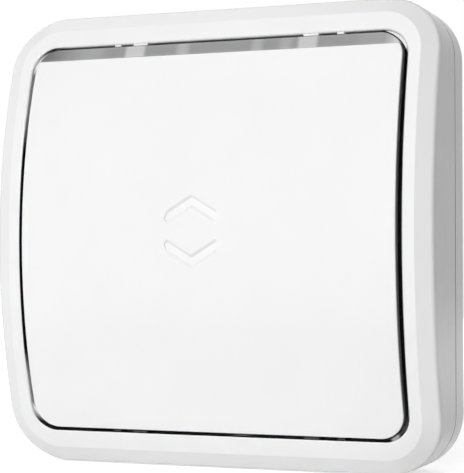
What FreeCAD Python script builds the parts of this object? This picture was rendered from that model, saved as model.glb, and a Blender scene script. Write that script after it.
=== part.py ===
import FreeCAD, Part
import math
import os
import re
import Sketcher

# A surface-mounted wireless wall switch, in millimetres.
# The wall is the plane Y = 0, the switch stands out towards -Y, +X is to the right and +Z is up.
# A height above the wall is called a rise: a point with a rise of 5 lies at Y = -5.
# The origin is the middle of the back face, where the switch meets the wall.

Vector = FreeCAD.Vector
doc = FreeCAD.newDocument("WallRemote")

# Driving dimensions
# Each one is written once here, goes into the sheet under its own name, and is used from there.
DIMENSIONS = [
    ("case_width", 80.9, "outside width at the wall"),
    ("case_height", 81.6, "outside height at the wall"),
    ("case_corner", 10.1, "corner radius of the outline"),
    ("side_draft", 0.8, "moulding draft of the side walls, in degrees"),
    ("rim_rise", 5.5, "rise of the wall plate's visible rim"),
    ("parting_gap", 0.3, "shadow line between the rim and the front frame"),
    ("crown_peak", 22.5, "rise of the frame's front land at mid height"),
    ("crown_radius", 100.0, "radius of the frame's curved front"),
    ("bevel_width", 2.9, "width of the frame's outer bevel, along the front"),
    ("bevel_drop", 1.6, "drop of the outer bevel, down the side wall"),
    ("edge_round", 1.0, "rounding between the bevel and the side wall"),
    ("frame_wall", 1.6, "thickness of the frame's side wall"),
    ("frame_skin", 2.0, "thickness of the frame's front"),
    ("side_border", 5.35, "distance from the outline to the opening, at the sides"),
    ("end_border", 6.2, "distance from the outline to the opening, above and below"),
    ("opening_corner", 4.6, "corner radius of the opening"),
    ("opening_round", 0.4, "rounding of the opening's front edge"),
    ("collar_wall", 1.3, "thickness of the collar round the opening"),
    ("collar_rise", 9.0, "rise of the collar's inner end"),
    ("web_corner", 6.5, "corner radius of the room between the webs in the opening's corners"),
    ("web_recess", 0.8, "depth of the corner webs below the front"),
    ("rib_reach", 0.25, "how far the guide ribs stand into the opening"),
    ("rib_recess", 0.35, "depth of the guide ribs' ends below the front"),
    ("wide_rib", 2.7, "width of the wide guide ribs"),
    ("narrow_rib", 1.2, "width of the narrow guide ribs"),
    ("wide_rib_left", -14.3, "place of the left wide rib"),
    ("wide_rib_right", 17.65, "place of the right wide rib"),
    ("narrow_rib_left", -18.7, "place of the left narrow rib"),
    ("narrow_rib_right", 22.95, "place of the right narrow rib"),
    ("side_gap", 0.8, "gap beside the rocker, each side"),
    ("end_gap", 0.45, "gap above and below the rocker"),
    ("rocker_proud", 0.7, "how far the rocker's face stands proud of the frame's, at mid height"),
    ("rocker_radius", 91.7, "radius of the rocker's curved face"),
    ("rocker_corner", 4.4, "corner radius of the rocker"),
    ("rocker_round", 0.3, "rounding of the rocker's front edge"),
    ("rocker_skin", 1.8, "thickness of the rocker's face"),
    ("rocker_edge", 1.6, "thickness of the plate's edge that stands out past the skirt"),
    ("skirt_inset", 0.9, "how far the skirt is set back under that edge"),
    ("skirt_wall", 1.0, "thickness of the rocker's skirt"),
    ("skirt_depth", 11.7, "depth of the skirt's back edge behind the face"),
    ("rocker_rib", 1.2, "thickness of the ribs behind the face"),
    ("rocker_rib_depth", 3.8, "how far the ribs stand out behind the face"),
    ("strip_height", 2.07, "visible height of the light strip"),
    ("strip_depth", 2.2, "thickness of the light strip"),
    ("strip_fit", 0.04, "clearance round the light strip's seat"),
    ("shelf_depth", 1.5, "thickness of the shelf under the light strip"),
    ("pipe_width", 5.0, "width of the light pipe behind the strip"),
    ("pipe_height", 1.4, "height of the light pipe"),
    ("pipe_gap", 1.05, "gap between the light pipe and the indicator LED"),
    ("peg_radius", 0.6, "radius of the strip's locating pegs"),
    ("peg_length", 1.2, "length of the locating pegs"),
    ("peg_place", 20.0, "sideways place of the locating pegs"),
    ("rocker_swing", 1.5, "swing of the rocker each way, in degrees"),
    ("pivot_depth", 9.2, "depth of the rocker's pivot axis behind the face"),
    ("trunnion_radius", 1.45, "radius of the rocker's pivot pins"),
    ("trunnion_length", 2.9, "length of the pivot pins"),
    ("pivot_fit", 0.05, "running clearance round the pivot pins"),
    ("post_thickness", 2.6, "thickness of the hinge posts"),
    ("post_gap", 0.5, "gap between the hinge posts and the skirt"),
    ("post_width", 7.0, "width of the hinge posts"),
    ("plate_floor", 2.0, "thickness of the wall plate"),
    ("lip_wall", 1.0, "thickness of the lip inside the frame"),
    ("lip_rise", 2.0, "rise of the lip above the rim"),
    ("lip_fit", 0.1, "clearance between the lip and the frame"),
    ("hook_width", 5.0, "width of the frame's snap noses"),
    ("hook_place", 24.0, "sideways place of the snap noses"),
    ("hook_reach", 0.7, "how far the snap noses stand out"),
    ("hook_height", 0.6, "height of the snap noses"),
    ("hook_fit", 0.2, "clearance round the snap noses"),
    ("hook_lift", 0.3, "rise of the noses' windows above the rim"),
    ("wall_screw_spacing", 60.0, "spacing of the two wall screw holes"),
    ("wall_screw_radius", 2.1, "radius of the wall screw holes"),
    ("wall_boss_radius", 4.5, "radius of the pads round those holes"),
    ("wall_boss_rise", 1.0, "rise of those pads above the floor"),
    ("tape_width", 16.0, "width of the adhesive pads"),
    ("tape_inset", 14.8, "distance from the outline to the adhesive pads' ends"),
    ("tape_depth", 0.6, "depth of the adhesive pads' seats"),
    ("tape_slack", 0.05, "gap between an adhesive pad and the bottom of its seat"),
    ("tape_place", 22.0, "sideways place of the adhesive pads"),
    ("tape_fit", 0.25, "clearance round the adhesive pads"),
    ("chassis_side_inset", 6.65, "inset of the inner chassis from the outline, at the sides"),
    ("chassis_end_inset", 5.8, "inset of the inner chassis from the outline, above and below"),
    ("chassis_corner", 4.0, "corner radius of the inner chassis"),
    ("chassis_floor", 1.6, "thickness of the inner chassis"),
    ("chassis_rise", 2.0, "height of the pillars under the chassis"),
    ("chassis_rib", 1.2, "thickness of the chassis's border rib"),
    ("chassis_rib_rise", 1.4, "height of the chassis's border rib"),
    ("pillar_radius", 2.8, "radius of the pillars under the chassis"),
    ("chassis_screw_side", 3.2, "distance of the chassis screws from the chassis's sides"),
    ("chassis_screw_end", 11.0, "distance of the chassis screws from the chassis's ends"),
    ("access_radius", 4.2, "radius of the chassis's holes over the wall screws"),
    ("stop_place", 20.0, "sideways place of the rocker stops"),
    ("stop_width", 8.0, "width of the rocker stops"),
    ("stop_wall", 1.2, "thickness of the rocker stops"),
    ("stop_margin", 0.06, "clearance left over a stop at full swing"),
    ("board_side_gap", 1.7, "gap between the circuit board and the hinge posts"),
    ("board_end_gap", 4.0, "distance from the board's ends to the chassis's ends"),
    ("board_corner", 2.0, "corner radius of the circuit board"),
    ("board_thickness", 1.6, "thickness of the circuit board"),
    ("board_rise", 2.4, "height of the posts under the board"),
    ("board_post_radius", 2.6, "radius of the posts under the board"),
    ("board_screw_inset", 4.0, "distance of the board screws from the board's edges"),
    ("tongue_width", 9.0, "width of the board's tongue under the light pipe"),
    ("tongue_margin", 0.7, "how far the tongue reaches past the indicator LED"),
    ("screw_radius", 1.0, "radius of the small screws"),
    ("screw_head_radius", 1.9, "radius of the screw heads"),
    ("screw_head_height", 1.2, "height of the screw heads"),
    ("screw_slot", 0.5, "width of the cross in the screw heads"),
    ("screw_fit", 0.12, "clearance round the small screws"),
    ("chassis_screw_length", 4.2, "length of the chassis screws under the head"),
    ("board_screw_length", 3.8, "length of the board screws under the head"),
    ("key_inset", 9.0, "distance of the push keys from the board's ends"),
    ("key_width", 6.0, "width of a push key's housing"),
    ("key_rise", 3.2, "height of a push key's housing"),
    ("key_cover", 0.3, "thickness of a push key's cover"),
    ("plunger_radius", 1.75, "radius of a plunger's stem"),
    ("plunger_fit", 0.1, "clearance round the plungers"),
    ("plunger_flange", 2.25, "radius of a plunger's flange"),
    ("plunger_flange_height", 0.5, "thickness of a plunger's flange"),
    ("plunger_stand", 1.15, "how far a plunger stands out of its cover at rest"),
    ("plunger_travel", 0.6, "travel of a plunger each way"),
    ("plunger_room", 0.9, "room under a plunger's flange"),
    ("presser_gap", 0.08, "gap between a plunger and the rocker's presser"),
    ("presser_radius", 1.2, "radius of the rocker's pressers"),
    ("presser_fin", 1.0, "thickness of the fins round a presser"),
    ("presser_fin_width", 8.0, "width across the fins"),
    ("presser_fin_back", 1.2, "how far the fins end above the presser's tip"),
    ("leg_width", 0.8, "width of a push key's legs"),
    ("leg_length", 1.4, "length of a push key's legs"),
    ("leg_thickness", 0.2, "thickness of a push key's legs"),
    ("leg_spacing", 4.5, "spacing of a push key's legs"),
    ("cell_radius", 10.0, "radius of the coin cell"),
    ("cell_height", 3.2, "height of the coin cell"),
    ("cell_cap_radius", 8.8, "radius of the coin cell's raised cap"),
    ("cell_cap_height", 0.5, "height of the coin cell's raised cap"),
    ("cell_fit", 0.12, "clearance round the coin cell"),
    ("holder_wall", 1.5, "wall of the cell holder"),
    ("holder_height", 3.0, "height of the cell holder"),
    ("holder_notch", 8.0, "width of the holder's finger notch"),
    ("contact_sheet", 0.3, "thickness of the battery contacts"),
    ("contact_width", 5.0, "width of the battery clip"),
    ("contact_foot", 1.6, "length of the battery clip's feet"),
    ("contact_fit", 0.15, "clearance between the clip and what it passes"),
    ("minus_radius", 6.0, "radius of the minus contact"),
    ("part_gap", 1.0, "gap between neighbouring parts on the board"),
    ("radio_width", 14.0, "width of the radio board"),
    ("radio_height", 23.0, "height of the radio board"),
    ("radio_thickness", 0.8, "thickness of the radio board"),
    ("shield_width", 12.0, "width of the radio's metal can"),
    ("shield_height", 14.0, "height of the radio's metal can"),
    ("shield_rise", 2.0, "height of the radio's metal can"),
    ("shield_sheet", 0.25, "sheet thickness of the metal can"),
    ("radio_margin", 1.3, "bare edge of the radio board below the can and above the antenna"),
    ("antenna_length", 9.0, "length of the chip antenna"),
    ("antenna_width", 2.0, "width of the chip antenna"),
    ("antenna_rise", 1.2, "height of the chip antenna"),
    ("rocker_rib_x", 16.0, "sideways place of the upright ribs behind the face"),
    ("rocker_rib_z", 10.0, "height of the level ribs behind the face"),
    ("chip_width", 7.0, "width of the controller chip"),
    ("chip_rise", 1.0, "height of the controller chip"),
    ("crystal_length", 8.0, "length of the timing crystal"),
    ("crystal_width", 2.6, "width of the timing crystal"),
    ("crystal_rise", 1.4, "height of the timing crystal"),
    ("led_width", 3.0, "width of the indicator LED"),
    ("led_height", 1.4, "height of the indicator LED"),
    ("led_rise", 0.8, "how far the indicator LED stands off the board"),
    ("buffer_radius", 3.15, "radius of the buffer capacitor"),
    ("buffer_rise", 5.4, "height of the buffer capacitor"),
    ("buffer_base", 6.6, "width of the buffer capacitor's foot"),
    ("buffer_base_rise", 0.9, "height of the buffer capacitor's foot"),
    ("chip_part_length", 1.6, "length of a chip capacitor or resistor"),
    ("chip_part_width", 0.8, "width of a chip capacitor or resistor"),
    ("chip_capacitor_rise", 0.8, "height of a chip capacitor"),
    ("chip_resistor_rise", 0.45, "height of a chip resistor"),
    ("chip_part_pitch", 2.4, "spacing of the chip capacitors and resistors"),
    ("footing", 0.5, "depth that a raised feature runs into what it stands on"),
    ("overcut", 1.0, "how far a cutting shape starts outside the solid"),
    ("hole_end", 0.3, "room below the end of a screw or a peg"),
    ("bow_room", 5.0, "how far the cutter of a bowed face reaches past the outline"),
]

sheet = doc.addObject("Spreadsheet::Sheet", "Sizes")
for row, (alias, value, meaning) in enumerate(DIMENSIONS, start=1):
    sheet.set("A%d" % row, alias)
    sheet.set("B%d" % row, repr(value))
    sheet.set("C%d" % row, meaning)
    sheet.setAlias("B%d" % row, alias)
doc.recompute()

# Derived sizes
# Each one is worked out from driving dimensions and from derived sizes that stand above it.
DERIVED = {
    "frame_back": "rim_rise + parting_gap",
    "frame_shrink": "2 * frame_back * tan(side_draft * 1deg)",
    "frame_width": "case_width - frame_shrink",
    "frame_height": "case_height - frame_shrink",
    "frame_corner": "case_corner - frame_shrink / 2",
    "lip_inset": "frame_wall + lip_fit",
    "opening_width": "case_width - 2 * side_border",
    "opening_height": "case_height - 2 * end_border",
    "cavity_width": "frame_width - 2 * frame_wall",
    "cavity_height": "frame_height - 2 * frame_wall",
    "cavity_corner": "frame_corner - frame_wall",
    "hook_back": "rim_rise + hook_lift + hook_fit",
    "rib_end": "crown_peak - crown_radius + sqrt(crown_radius ^ 2 - (opening_height / 2) ^ 2) - rib_recess",
    "tape_height": "case_height - 2 * tape_inset",
    "chassis_back": "plate_floor + chassis_rise",
    "chassis_top": "chassis_back + chassis_floor",
    "chassis_width": "case_width - 2 * chassis_side_inset",
    "chassis_height": "case_height - 2 * chassis_end_inset",
    "chassis_screw_x": "chassis_width / 2 - chassis_screw_side",
    "chassis_screw_z": "chassis_height / 2 - chassis_screw_end",
    "board_back": "chassis_top + board_rise",
    "board_top": "board_back + board_thickness",
    "rocker_width": "opening_width - 2 * side_gap",
    "rocker_height": "opening_height - 2 * end_gap",
    "rocker_peak": "crown_peak + rocker_proud",
    "rocker_back": "rocker_peak - skirt_depth",
    "rocker_wall": "skirt_inset + skirt_wall",
    "skirt_middle": "rocker_height / 2 - skirt_inset - skirt_wall / 2",
    "rocker_rib_back": "rocker_peak - rocker_skin - rocker_rib_depth",
    "pivot_rise": "rocker_peak - pivot_depth",
    "strip_foot": "rocker_height / 2 - strip_height",
    "strip_seat": "rocker_peak - rocker_radius + sqrt(rocker_radius ^ 2 - strip_foot ^ 2) - strip_depth",
    "pipe_middle": "strip_foot + strip_fit + pipe_height / 2",
    "pipe_end": "board_top + led_rise + pipe_gap",
    "undercut_top": "strip_foot - skirt_inset",
    "undercut_height": "undercut_top + rocker_height / 2 + overcut",
    "peg_height": "rocker_height / 2 - rocker_wall / 2",
    "post_middle": "rocker_width / 2 - rocker_wall - post_gap - post_thickness / 2",
    "stop_end": "rocker_back - rocker_height / 2 * sin(rocker_swing * 1deg) - stop_margin",
    "board_width": "2 * (post_middle - post_thickness / 2 - board_side_gap)",
    "board_height": "chassis_height - 2 * board_end_gap",
    "board_screw_x": "board_width / 2 - board_screw_inset",
    "board_screw_z": "board_height / 2 - board_screw_inset",
    "key_height": "board_height / 2 - key_inset",
    "tongue_end": "pipe_middle + led_height / 2 + tongue_margin",
    "key_top": "board_top + key_rise",
    "flange_back": "key_top - plunger_room - plunger_flange_height - plunger_travel",
    "plunger_top": "key_top + key_cover + plunger_stand",
    "presser_tip": "plunger_top + presser_gap",
    "skin_radius": "rocker_radius - rocker_skin / 2",
    "presser_root": "rocker_peak - rocker_radius + sqrt(skin_radius ^ 2 - key_height ^ 2)",
    "fin_back": "presser_tip + presser_fin_back",
    "cap_back": "board_top + contact_sheet + contact_fit",
    "cell_top": "cap_back + cell_height",
    "holder_radius": "cell_radius + cell_fit + holder_wall",
    "ledge_top": "cap_back + cell_cap_height - contact_fit",
    "clip_inside": "2 * (holder_radius + contact_fit)",
    "clip_rise": "cell_top + contact_fit - board_top",
    "clip_reach": "clip_inside / 2 + contact_sheet + contact_foot",
    "row_width": "2 * clip_reach + part_gap + radio_width",
    "cell_x": "clip_reach - row_width / 2",
    "radio_x": "row_width / 2 - radio_width / 2",
    "radio_top": "board_top + radio_thickness",
    "shield_z": "shield_height / 2 + radio_margin - radio_height / 2",
    "antenna_z": "radio_height / 2 - radio_margin - antenna_width / 2",
    "crystal_z": "holder_radius + part_gap + crystal_width / 2",
    "chip_x": "0 - key_width / 2 - leg_length - part_gap - chip_width / 2",
    "chip_z": "crystal_z + crystal_width / 2 + part_gap + chip_width / 2",
    "buffer_z": "0 - radio_height / 2 - part_gap - buffer_base / 2",
    "capacitor_z": "radio_height / 2 + part_gap + chip_part_length / 2",
    "resistor_z": "capacitor_z + part_gap + chip_part_length",
}

NAMES = {alias for alias, value, meaning in DIMENSIONS}


def sized(text):
    """An expression with its driving sizes taken from the sheet and its derived sizes worked out."""
    words = []
    for word in re.split(r"(\w+)", text):
        if word in NAMES:
            word = "Sizes." + word
        if word in DERIVED:
            word = "(" + sized(DERIVED[word]) + ")"
        words.append(word)
    return "".join(words).strip()


def value(text):
    """The number that an expression of dimensions gives."""
    cell = doc.getObject("Sizes")
    return float(cell.evalExpression(sized(text)))


def bind(thing, path, text):
    """Tie one property of a thing to an expression of the dimensions."""
    thing.setExpression(path, sized(text))


def new_body(label):
    body = doc.addObject("PartDesign::Body", label)
    body.Label = label
    return body


def new_sketch(body, name, role, x="0", y="0", lift="0"):
    """A sketch on one of the body's own origin planes, moved within that plane and lifted off it."""
    sketch = body.newObject("Sketcher::SketchObject", name)
    base = [plane for plane in body.Origin.OriginFeatures if plane.Role == role][0]
    sketch.AttachmentSupport = [(base, "")]
    sketch.MapMode = "FlatFace"
    bind(sketch, "AttachmentOffset.Base.x", x)
    bind(sketch, "AttachmentOffset.Base.y", y)
    bind(sketch, "AttachmentOffset.Base.z", lift)
    return sketch


def dimension(sketch, text, kind, *ends):
    """Add one sketch dimension and tie it to an expression."""
    index = sketch.addConstraint(Sketcher.Constraint(kind, *ends, value(text)))
    bind(sketch, "Constraints[%d]" % index, text)


def add_rounded(sketch, width, height, radius):
    """Draw a rounded rectangle centred on the sketch's own origin."""
    half_w = value(width) / 2
    half_h = value(height) / 2
    r = value(radius)
    first = sketch.GeometryCount
    for cx, cz, start in ((1, 1, 0), (-1, 1, 90), (-1, -1, 180), (1, -1, 270)):
        centre = Vector(cx * (half_w - r), cz * (half_h - r), 0)
        circle = Part.Circle(centre, Vector(0, 0, 1), r)
        sketch.addGeometry(Part.ArcOfCircle(circle, math.radians(start), math.radians(start + 90)), False)
    for arc in range(4):
        begin = sketch.Geometry[first + arc].EndPoint
        end = sketch.Geometry[first + (arc + 1) % 4].StartPoint
        sketch.addGeometry(Part.LineSegment(begin, end), False)
    for arc in range(4):
        line = first + 4 + arc
        sketch.addConstraint(Sketcher.Constraint("Tangent", first + arc, 2, line, 1))
        sketch.addConstraint(Sketcher.Constraint("Tangent", line, 2, first + (arc + 1) % 4, 1))
    sketch.addConstraint(Sketcher.Constraint("Horizontal", first + 4))
    sketch.addConstraint(Sketcher.Constraint("Vertical", first + 5))
    for arc in range(1, 4):
        sketch.addConstraint(Sketcher.Constraint("Equal", first, first + arc))
    sketch.addConstraint(Sketcher.Constraint("Symmetric", first, 3, first + 2, 3, -1, 1))
    dimension(sketch, radius, "Radius", first)
    dimension(sketch, width, "Distance", first + 5, 1, first + 7)
    dimension(sketch, height, "Distance", first + 4, 1, first + 6)


def add_rectangle(sketch, x, z, width, height):
    """Draw a square-cornered rectangle about the point x, z of the sketch."""
    middle = Vector(value(x), value(z), 0)
    half = Vector(value(width) / 2, value(height) / 2, 0)
    corners = []
    for side_x, side_z in ((-1, -1), (1, -1), (1, 1), (-1, 1)):
        corners.append(middle + Vector(side_x * half.x, side_z * half.y, 0))
    first = sketch.GeometryCount
    for side in range(4):
        sketch.addGeometry(Part.LineSegment(corners[side], corners[(side + 1) % 4]), False)
    for side in range(4):
        kind = "Horizontal" if side % 2 == 0 else "Vertical"
        sketch.addConstraint(Sketcher.Constraint("Coincident", first + side, 2, first + (side + 1) % 4, 1))
        sketch.addConstraint(Sketcher.Constraint(kind, first + side))
    dimension(sketch, width, "DistanceX", first, 1, first, 2)
    dimension(sketch, height, "DistanceY", first + 1, 1, first + 1, 2)
    dimension(sketch, "%s - (%s) / 2" % (x, width), "DistanceX", -1, 1, first, 1)
    dimension(sketch, "%s - (%s) / 2" % (z, height), "DistanceY", -1, 1, first, 1)


def add_circle(sketch, x, z, radius):
    """Draw a circle about the point x, z of the sketch."""
    circle = Part.Circle(Vector(value(x), value(z), 0), Vector(0, 0, 1), value(radius))
    geometry = sketch.addGeometry(circle, False)
    dimension(sketch, radius, "Radius", geometry)
    dimension(sketch, x, "DistanceX", -1, 1, geometry, 3)
    dimension(sketch, z, "DistanceY", -1, 1, geometry, 3)


def add_bow(sketch, peak, radius):
    """Draw the space in front of a curved face, in the sketch of the YZ plane."""
    r = value(radius)
    reach = value("case_height / 2 + bow_room")
    centre = Vector(r - value(peak), 0, 0)
    sweep = math.asin(reach / r)
    front = -value("(%s) + 2 * bow_room" % peak)
    circle = Part.Circle(centre, Vector(0, 0, 1), r)
    sketch.addGeometry(Part.ArcOfCircle(circle, math.pi - sweep, math.pi + sweep), False)
    top = sketch.Geometry[0].StartPoint
    bottom = sketch.Geometry[0].EndPoint
    sketch.addGeometry(Part.LineSegment(bottom, Vector(front, bottom.y, 0)), False)
    sketch.addGeometry(Part.LineSegment(Vector(front, bottom.y, 0), Vector(front, top.y, 0)), False)
    sketch.addGeometry(Part.LineSegment(Vector(front, top.y, 0), top), False)
    for side in range(4):
        sketch.addConstraint(Sketcher.Constraint("Coincident", side, 2, (side + 1) % 4, 1))
    sketch.addConstraint(Sketcher.Constraint("Horizontal", 1))
    sketch.addConstraint(Sketcher.Constraint("Vertical", 2))
    sketch.addConstraint(Sketcher.Constraint("Horizontal", 3))
    sketch.addConstraint(Sketcher.Constraint("PointOnObject", 0, 3, -1))
    dimension(sketch, radius, "Radius", 0)
    dimension(sketch, "(%s) - (%s)" % (radius, peak), "DistanceX", -1, 1, 0, 3)
    dimension(sketch, "case_height / 2 + bow_room", "DistanceY", -1, 1, 0, 1)
    dimension(sketch, "0 - (%s) - 2 * bow_room" % peak, "DistanceX", -1, 1, 2, 1)
    sketch.addConstraint(Sketcher.Constraint("Symmetric", 0, 1, 0, 2, -1))


def pad(body, sketch, length, taper=None):
    """Raise a sketch away from the wall."""
    feature = body.newObject("PartDesign::Pad", sketch.Name + "_pad")
    feature.Profile = sketch
    feature.AllowMultiFace = True
    bind(feature, "Length", length)
    if taper:
        bind(feature, "TaperAngle", taper)
    return feature


def cut(body, sketch, length=None, outward=False):
    """Cut a sketch towards the wall, or outward away from it; with no length it cuts right through."""
    feature = body.newObject("PartDesign::Pocket", sketch.Name + "_cut")
    feature.Profile = sketch
    feature.AllowMultiFace = True
    feature.Reversed = outward
    if length:
        bind(feature, "Length", length)
    else:
        feature.Type = "ThroughAll"
    return feature


def bow_cut(body, name, peak, radius):
    """Trim a body's front to a face that is curved from top to bottom and straight from side to side."""
    sketch = new_sketch(body, name, "YZ_Plane")
    add_bow(sketch, peak, radius)
    feature = cut(body, sketch)
    feature.SideType = "Symmetric"
    return feature


def edge_names(shape, wanted):
    """Names of the edges of a shape that pass a test."""
    return ["Edge%d" % number for number, edge in enumerate(shape.Edges, start=1) if wanted(edge)]


def round_edges(body, name, wanted, radius):
    """Round the edges of the body so far that pass a test."""
    doc.recompute()
    base = body.Tip
    feature = body.newObject("PartDesign::Fillet", name)
    feature.Base = (base, edge_names(base.Shape, wanted))
    bind(feature, "Radius", radius)
    return feature


def block(name, x, z, width, height, back, rise):
    """A plain block that stands between two rises, centred on x, z."""
    box = doc.addObject("Part::Box", name)
    bind(box, "Length", width)
    bind(box, "Width", rise)
    bind(box, "Height", height)
    bind(box, "Placement.Base.x", "%s - (%s) / 2" % (x, width))
    bind(box, "Placement.Base.y", "0 - (%s) - (%s)" % (back, rise))
    bind(box, "Placement.Base.z", "%s - (%s) / 2" % (z, height))
    return box


def rod(name, x, z, radius, back, rise):
    """A round bar that stands out from the wall, from one rise over a length."""
    cylinder = doc.addObject("Part::Cylinder", name)
    cylinder.Placement = FreeCAD.Placement(Vector(0, 0, 0), FreeCAD.Rotation(Vector(1, 0, 0), 90))
    bind(cylinder, "Radius", radius)
    bind(cylinder, "Height", rise)
    bind(cylinder, "Placement.Base.x", x)
    bind(cylinder, "Placement.Base.y", "0 - (%s)" % back)
    bind(cylinder, "Placement.Base.z", z)
    return cylinder


def join(label, pieces):
    """One solid made of pieces that run into each other."""
    feature = doc.addObject("Part::MultiFuse", label)
    feature.Shapes = pieces
    feature.Refine = True
    return feature


def less(label, base, tool):
    """A piece with another shape taken out of it."""
    feature = doc.addObject("Part::Cut", label)
    feature.Base = base
    feature.Tool = tool
    feature.Refine = True
    return feature


def group(label, pieces):
    """Like pieces that stay separate solids but share one node."""
    feature = doc.addObject("Part::Compound", label)
    feature.Links = pieces
    return feature


parts = []


def keep(feature, label):
    """Name a finished sub-part and put it on the list of parts to write."""
    feature.Label = label
    parts.append(feature)


# Wall plate
# The moulded back tray. Its rim shows behind the parting line, and its lip locates the frame.
plate = new_body("wall_plate_body")
outline = new_sketch(plate, "plate_outline", "XZ_Plane")
add_rounded(outline, "case_width", "case_height", "case_corner")
pad(plate, outline, "rim_rise", taper="0 - side_draft")
lip = new_sketch(plate, "plate_lip", "XZ_Plane", lift="rim_rise - plate_floor")
add_rounded(lip, "case_width - frame_shrink - 2 * lip_inset",
            "case_height - frame_shrink - 2 * lip_inset", "case_corner - lip_inset")
pad(plate, lip, "lip_rise + plate_floor")
hollow = new_sketch(plate, "plate_hollow", "XZ_Plane", lift="plate_floor")
add_rounded(hollow, "case_width - frame_shrink - 2 * lip_inset - 2 * lip_wall",
            "case_height - frame_shrink - 2 * lip_inset - 2 * lip_wall",
            "case_corner - lip_inset - lip_wall")
cut(plate, hollow, outward=True)
pillars = new_sketch(plate, "plate_pillars", "XZ_Plane", lift="plate_floor - footing")
for side_x in ("", "0 - "):
    for side_z in ("", "0 - "):
        add_circle(pillars, side_x + "chassis_screw_x", side_z + "chassis_screw_z", "pillar_radius")
pad(plate, pillars, "chassis_rise + footing")
pads = new_sketch(plate, "plate_wall_pads", "XZ_Plane", lift="plate_floor - footing")
for side_z in ("", "0 - "):
    add_circle(pads, "0", side_z + "wall_screw_spacing / 2", "wall_boss_radius")
pad(plate, pads, "wall_boss_rise + footing")
wall_holes = new_sketch(plate, "plate_wall_holes", "XZ_Plane", lift="plate_floor + wall_boss_rise + overcut")
for side_z in ("", "0 - "):
    add_circle(wall_holes, "0", side_z + "wall_screw_spacing / 2", "wall_screw_radius")
cut(plate, wall_holes)
pilots = new_sketch(plate, "plate_pilots", "XZ_Plane", lift="chassis_back")
for side_x in ("", "0 - "):
    for side_z in ("", "0 - "):
        add_circle(pilots, side_x + "chassis_screw_x", side_z + "chassis_screw_z", "screw_radius + screw_fit")
cut(plate, pilots, "chassis_screw_length - chassis_floor + hole_end")
tape_seats = new_sketch(plate, "plate_tape_seats", "XZ_Plane", lift="tape_depth")
for side_x in ("", "0 - "):
    add_rectangle(tape_seats, side_x + "tape_place", "0",
                  "tape_width + 2 * tape_fit", "tape_height + 2 * tape_fit")
cut(plate, tape_seats)
windows = new_sketch(plate, "plate_windows", "XZ_Plane", lift="rim_rise + hook_lift")
for side_x in ("", "0 - "):
    for side_z in ("", "0 - "):
        add_rectangle(windows, side_x + "hook_place",
                      side_z + "(case_height / 2 - frame_shrink / 2 - lip_inset - lip_wall / 2)",
                      "hook_width + 2 * hook_fit", "lip_wall + 2 * hook_fit")
cut(plate, windows, "hook_height + 2 * hook_fit", outward=True)
keep(plate, "wall_plate")

# Adhesive pads
# Two strips of foam tape that lie in shallow seats, flush with the back face.
tapes = []
for suffix, side_x in (("_right", ""), ("_left", "0 - ")):
    tapes.append(block("tape" + suffix, side_x + "tape_place", "0", "tape_width", "tape_height",
                       "0", "tape_depth - tape_slack"))
keep(group("adhesive_pads_group", tapes), "adhesive_pads")

# Front frame
# One moulding: side wall, bowed and bevelled front, collar round the opening, webs in its corners,
# guide ribs and snap noses.


def is_side(face):
    """Whether a face runs away from the wall, like a side wall."""
    low_u, high_u, low_v, high_v = face.ParameterRange
    return abs(face.normalAt((low_u + high_u) / 2, (low_v + high_v) / 2).y) < 0.05


def front_corner(shape, least_rise):
    """A test for edges between a side face and a front face, above a rise."""
    def wanted(edge):
        faces = shape.ancestorsOfType(edge, Part.Face)
        sides = [face for face in faces if is_side(face)]
        return edge.BoundBox.YMax < -least_rise and len(sides) == 1
    return wanted


frame_block = new_body("front_frame_block")
outline = new_sketch(frame_block, "frame_outline", "XZ_Plane", lift="frame_back")
add_rounded(outline, "frame_width", "frame_height", "frame_corner")
pad(frame_block, outline, "crown_peak - frame_back + overcut", taper="0 - side_draft")
bow_cut(frame_block, "frame_crown", "crown_peak", "crown_radius")
doc.recompute()
least_rise = value("frame_back + overcut")
bevel = frame_block.newObject("PartDesign::Chamfer", "frame_bevel")
crowned = frame_block.getObject("frame_crown_cut")
bevel.Base = (crowned, edge_names(crowned.Shape, front_corner(crowned.Shape, least_rise)))
bevel.ChamferType = "Two distances"
bind(bevel, "Size", "bevel_drop")
bind(bevel, "Size2", "bevel_width")
doc.recompute()
round_edges(frame_block, "frame_edge_round", front_corner(bevel.Shape, least_rise), "edge_round")
opening = new_sketch(frame_block, "frame_opening", "XZ_Plane", lift="crown_peak + overcut")
add_rounded(opening, "opening_width", "opening_height", "opening_corner")
cut(frame_block, opening)
doc.recompute()
opened = frame_block.Tip.Shape


def opening_edge(edge):
    """Whether an edge is the front edge of the frame's opening."""
    middle = edge.CenterOfMass
    inside = abs(middle.x) < value("opening_width / 2 + opening_round")
    inside = inside and abs(middle.z) < value("opening_height / 2 + opening_round")
    return inside and front_corner(opened, least_rise)(edge)


round_edges(frame_block, "frame_opening_round", opening_edge, "opening_round")

frame_cavity = new_body("front_frame_cavity")
floor = new_sketch(frame_cavity, "frame_cavity_floor", "XZ_Plane", lift="frame_back - overcut")
add_rounded(floor, "cavity_width", "cavity_height", "cavity_corner")
pad(frame_cavity, floor, "collar_rise - frame_back + overcut")
ring = new_sketch(frame_cavity, "frame_cavity_ring", "XZ_Plane", lift="collar_rise")
add_rounded(ring, "cavity_width", "cavity_height", "cavity_corner")
add_rounded(ring, "opening_width + 2 * collar_wall", "opening_height + 2 * collar_wall",
            "opening_corner + collar_wall")
pad(frame_cavity, ring, "crown_peak - collar_rise")
bow_cut(frame_cavity, "frame_cavity_crown", "crown_peak - frame_skin", "crown_radius - frame_skin")
frame_shell = less("front_frame_shell", frame_block, frame_cavity)

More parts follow.
